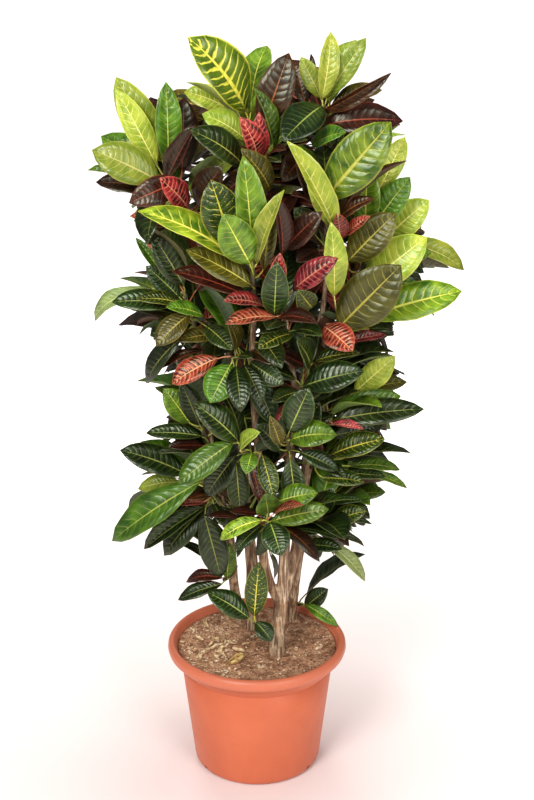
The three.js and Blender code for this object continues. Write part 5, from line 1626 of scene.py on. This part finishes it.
    def _kind(self, leaf: Leaf, value: float) -> Kind:
        """How a leaf looks, by its height and by how far out it stands.

        Args:
            leaf: the leaf.
            value: a draw among the kinds that grow there.

        Returns:
            Its kind.
        """
        middle = leaf.point(0, 0.6)
        outside = self.reach.share(middle) > self.OUTER and middle.y > Reach.MIDDLE[1]
        if middle.z > self.CROWN_FROM:
            outer = (LIME, GREEN, VIVID, GREEN, BRONZE, OLIVE)
            inner = (BRONZE, DEEP, BRONZE, OLIVE, BRONZE)
        elif middle.z > self.MIDDLE_FROM:
            outer = (GREEN, DEEP, OLIVE, BRONZE, FLECKED)
            inner = (DEEP, BRONZE, DEEP, DEEP, BRONZE, DEEP, CORAL)
        else:
            outer = (DEEP, GREEN, DEEP, DEEP, FLECKED)
            inner = (DEEP, DEEP, DEEP, DEEP, BRONZE)
        kinds = outer if outside else inner
        return kinds[int(value * len(kinds))]


class Shoot:
    """A leafy shoot: its twig and its leaves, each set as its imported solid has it.

    SHIFTS are in millimetres, and ROLLS, SWINGS and RAISES in degrees. LIE says how far a packed corner may
    be from a leaf's own point, and MATCHES how many of the five points have to be found.
    """

    SHIFTS = (0, 20, -20, 40, -40, 60, -60)
    ROLLS = (0, 15, -15, 30, -30)
    SWINGS = (0, 12, -12, 24, -24, 36, -36)
    RAISES = (0, 10, -10, 20)
    TWIG_RADII = (3.8 * MM, 3.2 * MM)
    ROOT_DROP = 15 * MM
    ROOT_STEP = 6 * MM
    ROOT_ENDS = (14 * MM, 3 * MM)
    LIE = 0.2 * MM
    MATCHES = 3
    INNER_LEAVES = 9

    def __init__(self, plan: ShootPlan, number: int) -> None:
        """Works out the twig's line and seeds the shoot's draws.

        Args:
            plan: what grows where.
            number: the shoot's place among all the shoots.
        """
        self.plan = plan
        self.number = number
        self.line = Line([LENS.seen(*point) for point in plan.path])
        self.draw = draws(1000 + 77 * number)
        self.corners = self._packed_corners()
        self.leaves = self._packed_leaves()
        self.stem = Stem(self.line)

    def _packed_corners(self) -> KDTree:
        """Gathers the corners of the shoot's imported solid.

        Returns:
            A tree to look them up in.
        """
        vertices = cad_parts[self.plan.name].data.vertices
        tree = KDTree(len(vertices))
        for i, vertex in enumerate(vertices):
            tree.insert(vertex.co, i)
        tree.balance()
        return tree

    def _root(self, base: Vector, order: int) -> Vector:
        """Finds where on the twig a leaf grows from.

        Args:
            base: where its blade starts.
            order: its place among the shoot's leaves.

        Returns:
            The point.
        """
        nearest = min(range(25), key=lambda i: round((self.line.at(i / 24) - base).length, 9)) / 24
        down = self.ROOT_DROP + self.ROOT_STEP * ((order * 2) % 5) - 2 * self.ROOT_STEP
        length = self.line.length
        lowest, highest = self.ROOT_ENDS[0] / length, 1 - self.ROOT_ENDS[1] / length
        return self.line.at(max(lowest, min(highest, nearest - down / length)))

    def _seen_leaf(self, row: tuple, order: int, shift: float, roll: float) -> Leaf:
        """A leaf that the viewer sees.

        Args:
            row: its row in the shoot's plan.
            order: its place among the shoot's rows.
            shift: how far its tip is brought forward, in millimetres.
            roll: how far its face is turned, in degrees.

        Returns:
            The leaf.
        """
        across, down, front, tip_across, tip_down, tip_front, share, fold, sky, turn, bow = row[:11]
        base = LENS.seen(across, down, front + shift / 2)
        tip = LENS.seen(tip_across, tip_down, tip_front + shift)
        face = face_of(base, tip, sky, turn + roll)
        width = share * (tip - base).length
        return Leaf(self._root(base, order), base, tip, face, width, math.radians(fold), bow)

    def _spiral_leaf(self, order: int, values: Sequence[float], swing: float, raised: float) -> Leaf:
        """A leaf that the spiral rule places.

        Args:
            order: its place in the spiral.
            values: six draws for its bearing, rise, length, width, fold and bow.
            swing: how far it is turned round the twig, in degrees.
            raised: how far it is tilted up, in degrees.

        Returns:
            The leaf.
        """
        around = self.plan.around
        along = mix(0.2, 0.98, (order + 0.5) / around.count)
        sector = ((order * GOLDEN_ANGLE + 40) % 360) / 360 * (around.end - around.start)
        bearing = around.start + sector + mix(-8, 8, values[0]) + swing
        rise = mix(8, 62, along) + mix(-8, 8, values[1]) + raised
        length = mix(152, 112, along) * mix(0.85, 1.12, values[2]) * MM
        root = self.line.at(along)
        base = root + compass(bearing, rise + 12) * (0.22 * length)
        tip = base + compass(bearing, rise - 8) * length
        face = square_to(UP, (tip - base).normalized())
        width, bow = mix(0.42, 0.56, values[3]) * length, mix(0.05, 0.13, values[5])
        return Leaf(root, base, tip, face, width, math.radians(mix(12, 24, values[4])), bow)

    def _as_packed(self, bends: Iterator[Leaf]) -> Leaf | None:
        """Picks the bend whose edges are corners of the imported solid.

        Args:
            bends: the leaf's possible bends.

        Returns:
            The leaf in that bend, or None.
        """
        best, most = None, self.MATCHES - 1
        for leaf in bends:
            found = sum(self.corners.find(point)[2] < self.LIE for point in leaf.measured_points())
            if found > most:
                best, most = leaf, found
            if most == 5:
                break
        return best

    def _packed_leaves(self) -> list[tuple[Leaf, Kind]]:
        """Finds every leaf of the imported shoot, bent as it is there.

        Returns:
            The leaves and their kinds.
        """
        found = []
        for order, row in enumerate(self.plan.rows):
            turns = product(self.SHIFTS, self.ROLLS)
            bends = (self._seen_leaf(row, order, shift, roll) for shift, roll in turns)
            found.append((self._as_packed(bends), row[11]))
        for order in range(self.plan.around.count):
            values = [self.draw() for _ in range(6)]
            turns = product(self.SWINGS, self.RAISES)
            bends = (self._spiral_leaf(order, values, swing, raised) for swing, raised in turns)
            kinds = self.plan.around.kinds
            found.append((self._as_packed(bends), kinds[order % len(kinds)]))
        missing = sum(leaf is None for leaf, _ in found)
        log.info("%s: %d leaves, %d not in the packed solid", self.plan.name, len(found) - missing, missing)
        return [(leaf, kind) for leaf, kind in found if leaf is not None]

    def fill(self, thicket: Thicket) -> None:
        """Grows the twig's inner leaves where there is room for them."""
        self.stem.inner += thicket.grow(self.line, 0.0, self.INNER_LEAVES, draws(9000 + 13 * self.number))

    def build(self, materials: dict[Kind, Material], bark: Material) -> Object:
        """Makes the shoot.

        Args:
            materials: a material for each kind of leaf.
            bark: the twig's material.

        Returns:
            The shoot as one object.
        """
        blades = Blades(5000 + 31 * self.number)
        for leaf, kind in self.leaves:
            blades.add(leaf, kind)
        for leaf, kind in self.stem.inner:
            blades.add_inner(leaf, kind)
        blades.add_twig(self.line, self.TWIG_RADII)
        name = self.plan.name
        return finished(blades.bm, name + "_leaves", [*materials.values(), bark], name)


# ---- Wood ------------------------------------------------------------------------------


class BarkPattern:
    """The node group that draws croton bark: pale ridges over brown, with ring scars where leaves were."""

    def build(self) -> NodeTree:
        """Lays the group's nodes out.

        Returns:
            The group, with outputs Color, Roughness and Height.
        """
        g, taken, leave = new_group("bark pattern", ("Pale", "Brown", "Dark"), (), ("Roughness", "Height"))
        place = g.place()
        ridges = g.noise(g.squeezed(place, 0.1), 170.0, 5.0, 0.65)
        rings = g.noise(g.squeezed(place, 5.0), 14.0, 2.0)
        colour = g.blend(g.ramp(g.noise(place, 28.0, 3.0), 0.35, 0.65), taken["Brown"], taken["Pale"])
        colour = g.blend(g.ramp(ridges, 0.42, 0.62, 0.85, 0.0), colour, taken["Dark"])
        colour = g.blend(g.ramp(rings, 0.6, 0.68, 0.0, 0.22), colour, taken["Dark"])
        rough = g.ramp(ridges, 0.2, 0.8, 0.9, 0.7)
        height = g.maths("ADD", ridges, g.maths("MULTIPLY", rings, 0.4))
        g.dress(leave, {"Color": colour, "Roughness": rough, "Height": height})
        return g.tree


@dataclass(frozen=True)
class BarkFinish(Finish):
    """One colouring of the bark."""

    pale: str = "e2c6a2"
    brown: str = "b08a66"
    dark: str = "5a3c28"

    def sockets(self, g: Graph, pattern: NodeTree | None) -> dict[str, object]:
        """The bark pattern in this colouring.

        Args:
            g: a Graph of the material's nodes.
            pattern: the bark pattern group.

        Returns:
            What goes into the shader's inputs, by name.
        """
        colours = {"Pale": srgb(self.pale), "Brown": srgb(self.brown), "Dark": srgb(self.dark)}
        bark = g.node("Group", colours, node_tree=pattern).outputs
        normal = g.bump(bark["Height"], 0.8, 2 * MM)
        return {"Base Color": bark["Color"], "Roughness": bark["Roughness"], "Normal": normal}


@dataclass
class Trunk:
    """A woody cutting with its limbs, run together at the forks."""

    name: str
    limbs: tuple[Limb, ...]
    root_depth: float = 0.07
    soil_top: float = 0.230
    voxel: float = 0.0016
    leafy_from: float = 0.50
    leaf_spacing: float = 0.022
    roughness: float = 0.9 * MM
    sides: int = 14
    steps: int = 60
    stems: list[Stem] = field(default_factory=list)

    @property
    def seed(self) -> int:
        """A number of the trunk's own, from its name."""
        return sum(map(ord, self.name))

    def _radius(self, limb: Limb, number: int) -> Callable[[float], float]:
        """Makes a limb's radius along it, with swellings where leaves grew.

        Args:
            limb: the limb.
            number: its place among the limbs.

        Returns:
            What gives the radius at a share of the length.
        """
        start, end = limb.radii

        def radius(share: float) -> float:
            """The radius at a share of the limb's length."""
            knots = noise.noise(Vector((share * 18, number * 7.0, 1.0))) * 0.1
            return mix(start, end, share) * MM * (0.97 + knots)

        return radius

    def build(self, bark: Material) -> Object:
        """Makes the trunk.

        Args:
            bark: its material.

        Returns:
            The trunk as one object.
        """
        bm = bmesh.new()
        for number, limb in enumerate(self.limbs):
            points = [LENS.seen(*point) for point in limb.path]
            if number == 0:
                points.insert(0, Vector((points[0].x, points[0].y, self.soil_top - self.root_depth)))
            tube(bm, Line(points), self._radius(limb, number), self.sides, self.steps)
        limbs = placed(bm, self.name + "_limbs")
        remesh = limbs.modifiers.new("join", "REMESH")
        remesh.mode, remesh.voxel_size, remesh.use_smooth_shade = "VOXEL", self.voxel, True
        joined = carried_out(limbs)
        bmesh.ops.smooth_vert(
            joined, verts=joined.verts, factor=0.5, use_axis_x=True, use_axis_y=True, use_axis_z=True
        )
        for vertex in joined.verts:
            spot = vertex.co * 90
            spot.z *= 0.35
            vertex.co += vertex.normal * (noise.noise(spot) * self.roughness)
        for face in joined.faces:
            face.smooth = True
        return finished(joined, self.name + "_bark", [bark], self.name)

    def fill(self, thicket: Thicket) -> None:
        """Grows leaves from the limbs themselves, where there is room for them.

        Args:
            thicket: what knows where there is room.
        """
        draw = draws(self.seed * 7)
        for limb in self.limbs[1:] if len(self.limbs) > 1 else self.limbs:
            whole = Line([LENS.seen(*point) for point in limb.path])
            low = next((i / 50 for i in range(50) if whole.at(i / 50).z > self.leafy_from), 1.0)
            if low < 0.9:
                stem = Stem(Line([whole.at(mix(low, 1.0, i / 12)) for i in range(13)]))
                stem.inner += thicket.grow(stem.line, 0.0, int(stem.line.length / self.leaf_spacing), draw)
                self.stems.append(stem)

    def build_leaves(self, materials: dict[Kind, Material]) -> Object:
        """Makes the leaves that grow from the limbs.

        Args:
            materials: a material for each kind of leaf.

        Returns:
            The leaves as one object.
        """
        blades = Blades(self.seed)
        for leaf, kind in (grown for stem in self.stems for grown in stem.inner):
            blades.add_inner(leaf, kind)
        log.info("%s: %d leaves on its limbs", self.name, sum(len(stem.inner) for stem in self.stems))
        return finished(blades.bm, self.name + "_leaves", list(materials.values()), None)


# ---- Pot and soil ----------------------------------------------------------------------


@dataclass
class PlasticPot:
    """The nursery pot: a tapering wall, a stepped neck, a rolled rim and a rounded foot with drain holes.

    Its outlines are radii and heights, and all its sizes are in millimetres.
    """

    foot: Outline = ((0, 0), (106, 0), (110.5, 0.7), (114.5, 2.8), (117, 6.5), (118.5, 14))
    groove: Outline = ((139.6, 195.2), (138.0, 196.6), (138.1, 198.8), (140.2, 200.4))
    neck: Outline = (
        (140.5, 204), (141.2, 205.6), (142.6, 206.4), (143.2, 208), (143.6, 213), (144.8, 216), (148, 218.3),
    )
    rim: Outline = (
        (154, 219.6), (159.4, 221.3), (163.2, 225.6), (165, 231.4), (164.4, 237.4), (161.8, 242),
        (157.4, 244.7), (153.4, 243.4),
    )
    inside: Outline = ((150.5, 238), (147, 228), (139.5, 214), (137.5, 204), (115.5, 16), (110, 4), (0, 4))
    hole_turns: tuple[float, ...] = (54, 126, 234, 306)
    hole_radius: float = 4.0
    hole_height: float = 8.0
    hole_out: float = 116.5
    hole_depth: float = 30.0
    hole_sides: int = 20
    steps: int = 144

    def _drill(self) -> BMesh:
        """Makes the round bars that leave the drain holes.

        Returns:
            Their mesh.
        """
        drill = bmesh.new()
        radius = self.hole_radius * MM
        lie = Matrix.Rotation(math.pi / 2, 4, "X")
        out = Matrix.Translation((0, -self.hole_out * MM, self.hole_height * MM))
        for turn in self.hole_turns:
            spot = Matrix.Rotation(math.radians(turn), 4, "Z") @ out
            bmesh.ops.create_cone(
                drill, cap_ends=True, segments=self.hole_sides, radius1=radius, radius2=radius,
                depth=self.hole_depth * MM, matrix=spot @ lie,
            )
        return drill

    def build(self, plastic: Material) -> Object:
        """Makes the pot.

        Args:
            plastic: its material.

        Returns:
            The pot as one object.
        """
        outline = (*self.foot, *self.groove, *self.neck, *self.rim, *self.inside)
        wall = placed(turned([(radius * MM, height * MM) for radius, height in outline], self.steps), "wall")
        bars = placed(self._drill(), "bars")
        cut = wall.modifiers.new("holes", "BOOLEAN")
        cut.operation, cut.object, cut.solver = "DIFFERENCE", bars, "EXACT"
        return finished(carried_out(wall, bars), "pot_shell", [plastic], "pot")


@dataclass(frozen=True)
class PlasticFinish(Finish):
    """The pot's moulded plastic: satin, faintly mottled and scuffed, and paler near the rim, partly dirt from
    the soil and partly a painted sheen of light grazing the rim.
    """

    colour: str = "cb6640"
    shade: str = "c15e39"
    dust_and_sheen: str = "e2ad98"

    def sockets(self, g: Graph, pattern: NodeTree | None) -> dict[str, object]:
        """Two shades of plastic, paler towards the rim as dirt and painted sheen, and rubbed streaks.

        Args:
            g: a Graph of the material's nodes.
            pattern: no group.

        Returns:
            What goes into the shader's inputs, by name.
        """
        place = g.place()
        height = g.node("SeparateXYZ", {0: place}).outputs[2]
        mottle = g.noise(place, 9.0, 4.0, 0.6)
        speck = g.noise(place, 260.0, 2.0)
        rub = g.noise(g.squeezed(place, 9.0), 34.0, 4.0, 0.7)
        colour = g.blend(g.ramp(mottle, 0.3, 0.7), srgb(self.colour), srgb(self.shade))
        # Towards the rim the colour goes paler: partly dirt from the soil, partly a painted sheen of light
        # grazing the rim.
        near_rim = g.ramp(height, 0.2, 0.226, 0.02, 0.14)
        rim_dust_and_sheen = g.maths("MULTIPLY", g.ramp(mottle, 0.3, 0.75, 0.6, 1.0), near_rim)
        colour = g.blend(rim_dust_and_sheen, colour, srgb(self.dust_and_sheen))
        colour = g.blend(g.ramp(rub, 0.68, 0.8, 0.0, 0.18), colour, srgb(self.dust_and_sheen))
        rough = g.maths("ADD", g.ramp(mottle, 0.2, 0.8, 0.36, 0.48), g.ramp(rub, 0.6, 0.8, 0.0, 0.12))
        grain = g.maths("ADD", g.maths("MULTIPLY", speck, 0.6), rub)
        return {"Base Color": colour, "Roughness": rough, "Normal": g.bump(grain, 0.12, 0.6 * MM)}


@dataclass(frozen=True)
class SoilFinish(Finish):
    """Dark peat with paler fibres and crumbs."""

    peat: str = "885839"
    crumb: str = "d8a580"
    pale: str = "f6dcbc"

    def sockets(self, g: Graph, pattern: NodeTree | None) -> dict[str, object]:
        """Clods of peat, with fibres and cells that stand out of it.

        Args:
            g: a Graph of the material's nodes.
            pattern: no group.

        Returns:
            What goes into the shader's inputs, by name.
        """
        place = g.place()
        clods = g.noise(place, 60.0, 6.0, 0.7)
        fibres = g.noise(place, 260.0, 5.0, 0.8)
        cells = g.node("TexVoronoi", {"Vector": place, "Scale": 190.0}).outputs["Distance"]
        colour = g.blend(g.ramp(clods, 0.35, 0.65), srgb(self.peat), srgb(self.crumb))
        colour = g.blend(g.ramp(fibres, 0.6, 0.72, 0.0, 0.8), colour, srgb(self.pale))
        height = g.maths("ADD", g.maths("MULTIPLY", clods, 1.2), g.maths("SUBTRACT", fibres, cells))
        return {"Base Color": colour, "Roughness": 0.95, "Normal": g.bump(height, 1.0, 4 * MM)}


@dataclass(frozen=True)
class ChipFinish(Finish):
    """Bark and husk chips that lie on the soil, in a few shades."""

    light: str = "f6e4c0"
    middle: str = "c49468"
    dark: str = "7a543a"

    def sockets(self, g: Graph, pattern: NodeTree | None) -> dict[str, object]:
        """A shade for each chip, with darker grain.

        Args:
            g: a Graph of the material's nodes.
            pattern: no group.

        Returns:
            What goes into the shader's inputs, by name.
        """
        shade = g.node("Attribute", attribute_name="chip_shade").outputs["Fac"]
        grain = g.noise(g.place(), 420.0, 4.0, 0.6)
        colour = g.blend(g.ramp(shade, 0.0, 0.55), srgb(self.dark), srgb(self.middle))
        colour = g.blend(g.ramp(shade, 0.55, 1.0), colour, srgb(self.light))
        colour = g.blend(g.ramp(grain, 0.35, 0.6, 0.45, 0.0), colour, srgb(self.dark))
        return {"Base Color": colour, "Roughness": 0.85, "Normal": g.bump(grain, 0.5, 1 * MM)}


@dataclass
class Soil:
    """The potting soil: a rough surface with chips, husks and one dry leaf on it.

    Its lengths are in metres, but for below, the radii and heights of its side and underside in millimetres.
    The chips are made in batches, because each one takes longer the more there are in its mesh.
    """

    edge_radius: float = 0.1468
    top: float = 0.230
    below: Outline = ((144.2, 224), (139.0, 214), (137.0, 204), (115.0, 16), (109.6, 4.5), (0, 4.5))
    rings: int = 40
    steps: int = 160
    chips: int = 2600
    batch: int = 65
    husks: int = 18
    husk_place: tuple[float, float] = (-0.078, -0.012)
    husk_spread: tuple[float, float] = (0.07, 0.075)
    seed: int = 424242

    def __post_init__(self) -> None:
        """Seeds the draws."""
        self.draw = draws(self.seed)

    def _height(self, x: float, y: float) -> float:
        """Measures how high the surface stands.

        Args:
            x: a place across.
            y: a place away.

        Returns:
            The height there.
        """
        share = min(1.0, math.hypot(x, y) / self.edge_radius)
        across, away = x / MM, y / MM
        waves = 1.6 * math.sin(across / 13 + away / 29) * math.cos(away / 17)
        waves += 1.1 * math.sin(away / 9 - across / 21)
        clods = noise.fractal(Vector((x, y, 0.3)) * 75, 0.6, 2.1, 4) * 1.7
        return self.top + (waves * 0.8 + clods) * MM * (1 - share**12)

    def build_bed(self, peat: Material) -> Object:
        """Makes the soil itself.

        Args:
            peat: its material.

        Returns:
            The soil as one object.
        """
        outline = [(self.edge_radius * i / self.rings, self.top) for i in range(self.rings + 1)]
        outline += [(radius * MM, height * MM) for radius, height in self.below]
        bm = turned(outline, self.steps)
        for vertex in bm.verts:
            if vertex.co.z > self.top - MM:
                vertex.co.z = self._height(vertex.co.x, vertex.co.y)
        return finished(bm, "soil_bed", [peat], "soil")

    def build_chips(self, wood: Material) -> Object:
        """Makes the chips that lie on the soil.

        Args:
            wood: their material.

        Returns:
            The chips as one object.
        """
        whole = bmesh.new()
        for first in range(0, self.chips, self.batch):
            part = bpy.data.meshes.new("chips")
            bm = bmesh.new()
            shade = bm.verts.layers.float.new("chip_shade")
            for number in range(first, first + self.batch):
                self._add_chip(bm, shade, number)
            bm.to_mesh(part)
            bm.free()
            whole.from_mesh(part)
            bpy.data.meshes.remove(part)
        return finished(whole, "soil_chips", [wood], None)

    def _add_chip(self, bm: BMesh, shade: BMLayerItem, number: int) -> None:
        """Adds one crumb or chip, every so often a large one, paler towards the left.

        Args:
            bm: the mesh to add it to.
            shade: the layer that holds how pale a chip is.
            number: its place among all the chips.
        """
        radius = (self.edge_radius - 0.006) * math.sqrt(self.draw())
        angle = math.tau * self.draw()
        x, y = radius * math.cos(angle), radius * math.sin(angle)
        size = mix(0.8, 2.3, self.draw() ** 2) * MM * (2.2 if number % 30 == 0 else 1.0)
        pale = self.draw() ** (0.6 if x < -0.03 else 2.0)
        turn = Matrix.Rotation(math.tau * self.draw(), 4, "Z")
        turn = turn @ Matrix.Rotation(mix(-0.5, 0.5, self.draw()), 4, "X")
        spot = Matrix.Translation((x, y, self._height(x, y) + 0.2 * size))
        stretch = Matrix.Diagonal((mix(1.0, 2.2, self.draw()), 1.0, mix(0.25, 0.6, self.draw()), 1.0))
        form = spot @ turn @ stretch
        for vertex in bmesh.ops.create_icosphere(bm, subdivisions=1, radius=size, matrix=form)["verts"]:
            vertex.co += Vector((self.draw() - 0.5, self.draw() - 0.5, self.draw() - 0.5)) * (0.5 * size)
            vertex[shade] = pale

    def build_dry_leaf(self, dry: Material) -> Object:
        """Makes the fallen leaf that has curled up on the soil.

        Args:
            dry: its material.

        Returns:
            The leaf as one object.
        """
        bm = bmesh.new()
        centre = LENS.seen(237, 652, 70)
        self._add_curl(bm, (centre.x, centre.y), 0.046, 0.011, 0.7, 2.2)
        return finished(bm, "soil_dry_leaf", [dry], None)

    def build_husks(self, husk: Material) -> Object:
        """Makes the pale husks that lie on the left of the soil.

        Args:
            husk: their material.

        Returns:
            The husks as one object.
        """
        bm = bmesh.new()
        for number in range(self.husks):
            spread = 1.0 if number % 3 else 2.4
            x, y = (
                place + (self.draw() - 0.5) * width * spread
                for place, width in zip(self.husk_place, self.husk_spread)
            )
            if math.hypot(x, y) < self.edge_radius - 0.016:
                length, half = mix(0.014, 0.03, self.draw()), mix(0.003, 0.0065, self.draw())
                self._add_curl(bm, (x, y), length, half, math.tau * self.draw(), mix(1.2, 2.2, self.draw()))
        return finished(bm, "soil_husks", [husk], None)

    def _add_curl(
        self, bm: BMesh, middle: tuple[float, float],
        length: float, half: float, turn: float, curl: float,
    ) -> None:
        """Adds a dead leaf that has curled up.

        Args:
            bm: the mesh to add it to.
            middle: where it lies.
            length: its length.
            half: half its width, laid flat.
            turn: which way it lies, in radians.
            curl: how far its edges are rolled up, in radians.
        """
        sheet = bmesh.ops.create_grid(bm, x_segments=6, y_segments=12, size=0.5)["verts"]
        faces = faces_at(sheet)
        start, lie = self.draw() * 6, Matrix.Rotation(turn, 2)
        for vertex in sheet:
            across, share = vertex.co.x * 2, vertex.co.y + 0.5
            wide = half * max(0.06, math.sin(math.pi * share)) ** 0.8
            bent = across * curl
            spot = lie @ Vector(((share - 0.5) * length, math.sin(bent) * wide / curl * 1.4))
            x, y = middle[0] + spot.x, middle[1] + spot.y
            lifted = (1 - math.cos(bent)) * wide * 0.7 + 0.06 * length * (1 + math.sin(start + share * 7))
            vertex.co = (x, y, self._height(x, y) + 0.001 + lifted)
        solid = bmesh.ops.solidify(bm, geom=faces, thickness=0.0006)["geom"]
        faces += [item for item in solid if isinstance(item, BMFace)]
        bmesh.ops.recalc_face_normals(bm, faces=[face for face in dict.fromkeys(faces) if face.is_valid])
        for face in bm.faces:
            face.smooth = True


class DryLeafPattern:
    """The node group that draws a dead leaf, yellow going brown in spots."""

    def build(self) -> NodeTree:
        """Lays the group's nodes out.

        Returns:
            The group, with outputs Color and Height.
        """
        g, taken, leave = new_group("dry leaf pattern", ("Yellow", "Brown"), (), ("Height",))
        spots = g.noise(g.place(), 120.0, 4.0, 0.6)
        colour = g.blend(g.ramp(spots, 0.42, 0.62), taken["Yellow"], taken["Brown"])
        g.dress(leave, {"Color": colour, "Height": spots})
        return g.tree


@dataclass(frozen=True)
class DryLeafFinish(Finish):
    """One colouring of dead leaf."""

    yellow: str = "dcc07c"
    brown: str = "9a6c38"

    def sockets(self, g: Graph, pattern: NodeTree | None) -> dict[str, object]:
        """The dry leaf pattern in this colouring.

        Args:
            g: a Graph of the material's nodes.
            pattern: the dry leaf pattern group.

        Returns:
            What goes into the shader's inputs, by name.
        """
        colours = {"Yellow": srgb(self.yellow), "Brown": srgb(self.brown)}
        dry = g.node("Group", colours, node_tree=pattern).outputs
        return {"Base Color": dry["Color"], "Roughness": 0.6, "Normal": g.bump(dry["Height"], 0.4, 1 * MM)}


# ---- The studio ------------------------------------------------------------------------


@dataclass(frozen=True)
class FloorFinish(Finish):
    """The pale floor. For the camera it glows away from the pot, and so runs into the room's white."""

    pale: str = "e9d9d6"
    paler: str = "f4e9e7"
    glow_from: float = 0.4
    glow_full: float = 2.0

    def sockets(self, g: Graph, pattern: NodeTree | None) -> dict[str, object]:
        """A faintly clouded floor and its glow.

        Args:
            g: a Graph of the material's nodes.
            pattern: no group.

        Returns:
            What goes into the shader's inputs, by name.
        """
        place = g.place()
        away = g.node("VectorMath", {0: place}, operation="LENGTH").outputs["Value"]
        seen = g.node("LightPath").outputs["Is Camera Ray"]
        glow = g.maths("MULTIPLY", g.ramp(away, self.glow_from, self.glow_full), seen)
        return {
            "Base Color": g.blend(g.noise(place, 1.6, 3.0), srgb(self.pale), srgb(self.paler)),
            "Roughness": 0.7,
            "Emission Color": g.blend(glow, (0.0, 0.0, 0.0), (1.0, 0.99, 0.985)),
            "Emission Strength": 1.0,
        }


class Studio:
    """The pale floor, the soft lights and the camera."""

    FLOOR_HALF = 40
    ROOM_LIGHT = 0.3
    ROOM_GLARE = -0.12

    def floor(self) -> None:
        """Lays the floor."""
        bm = bmesh.new()
        bmesh.ops.create_grid(bm, x_segments=1, y_segments=1, size=self.FLOOR_HALF)
        floor = placed(bm, "floor")
        floor.location.z = -0.5 * MM
        floor.data.materials.append(FloorFinish().material("pale floor"))

    def light(
        self, name: str, place: Point, towards: Point, size: float,
        power: float, colour: Colour, shines: bool = True,
    ) -> None:
        """Hangs a soft square light.

        Args:
            name: the light's name.
            place: where it hangs.
            towards: what it faces.
            size: its side, in metres.
            power: its power, in watts.
            colour: its colour.
            shines: whether it is seen in glossy surfaces.
        """
        lamp = bpy.data.lights.new(name, "AREA")
        lamp.shape, lamp.size, lamp.energy, lamp.color = "SQUARE", size, power, colour
        holder = bpy.data.objects.new(name, lamp)
        holder.location = place
        holder.rotation_euler = (Vector(towards) - Vector(place)).to_track_quat("-Z", "Y").to_euler()
        holder.visible_glossy = shines
        bpy.context.scene.collection.objects.link(holder)

    def world(self) -> None:
        """Sets the room's own even light."""
        world = bpy.data.worlds.new("room")
        world.use_nodes = True
        graph = Graph(world.node_tree)
        rays = graph.node("LightPath").outputs
        strength = graph.maths("MULTIPLY_ADD", rays["Is Camera Ray"], 1.0 - self.ROOM_LIGHT, self.ROOM_LIGHT)
        strength = graph.maths("MULTIPLY_ADD", rays["Is Glossy Ray"], self.ROOM_GLARE, strength)
        graph.dress(world.node_tree.nodes["Background"], {"Color": (1.0, 1.0, 1.0), "Strength": strength})
        bpy.context.scene.world = world

    def camera(self) -> None:
        """Sets the camera where the picture was taken from."""
        lens = bpy.data.cameras.new("camera")
        wide, tall = LENS.frame_size
        lens.sensor_fit, lens.sensor_width = "AUTO", 36.0
        lens.lens = LENS.focal * lens.sensor_width / max(wide, tall)
        lens.clip_start, lens.clip_end = 0.05, 200.0
        holder = bpy.data.objects.new("camera", lens)
        holder.location = LENS.place
        holder.rotation_euler = (math.pi / 2 - LENS.tilt, 0.0, 0.0)
        bpy.context.scene.collection.objects.link(holder)
        bpy.context.scene.camera = holder

    def build(self) -> None:
        """Sets everything up."""
        self.floor()
        self.light("key", (-1.4, -2.7, 2.7), (0, 0, 0.6), 1.3, 108.0, (1.0, 0.98, 0.95))
        self.light("fill", (1.7, -2.8, 1.9), (0, 0, 0.5), 1.6, 56.0, (1.0, 0.98, 0.97))
        self.light("crown", (0.3, 0.5, 3.4), (0, 0, 0.9), 1.5, 76.0, (1.0, 1.0, 0.97), shines=False)
        self.light("back", (-0.9, 2.9, 2.3), (0, 0, 0.7), 1.6, 42.0, (1.0, 0.99, 0.98), shines=False)
        self.world()
        self.camera()
        view = bpy.context.scene.view_settings
        view.view_transform, view.look, view.exposure, view.gamma = "Standard", "None", 0.0, 1.0


def main() -> None:
    """Builds the croton, its pot and the studio."""
    Studio().build()
    bark_pattern, dry_pattern = BarkPattern().build(), DryLeafPattern().build()
    bark = BarkFinish().material("bark", bark_pattern)
    twig_bark = BarkFinish("7c7a4c", "56502f", "332a1c").material("twig bark", bark_pattern)
    PlasticPot().build(PlasticFinish().material("terracotta plastic"))
    soil = Soil()
    soil.build_bed(SoilFinish().material("peat"))
    soil.build_chips(ChipFinish().material("chips"))
    soil.build_dry_leaf(DryLeafFinish().material("dry leaf", dry_pattern))
    soil.build_husks(DryLeafFinish("e6cfa2", "b48c62").material("husk", dry_pattern))
    trunks = [Trunk(name, limbs) for name, limbs in TRUNKS.items()]
    for trunk in trunks:
        trunk.build(bark)
    leaf_pattern = LeafPattern().build()
    foliage = {kind: FINISHES[kind].material(kind.value + " leaf", leaf_pattern) for kind in Kind}
    shoots = [Shoot(plan, number) for number, plan in enumerate(SHOOTS)]
    thicket = Thicket()
    for shoot in shoots:
        for leaf, _ in shoot.leaves:
            thicket.keep_seen(leaf)
    for part in (*shoots, *trunks):
        part.fill(thicket)
    stems = [shoot.stem for shoot in shoots] + [stem for trunk in trunks for stem in trunk.stems]
    thicket.close_windows(Vector(LENS.place), 8 * MM, stems, draws(700))
    for number, eye in enumerate(((-2.3, 0.0, 1.5), (2.3, 0.0, 1.5), (0.0, 2.3, 1.5))):
        thicket.close_windows(Vector(eye), 12 * MM, stems, draws(701 + number))
    for shoot in shoots:
        shoot.build(foliage, twig_bark)
    for trunk in trunks:
        trunk.build_leaves(foliage)


if __name__ == "__main__":
    main()
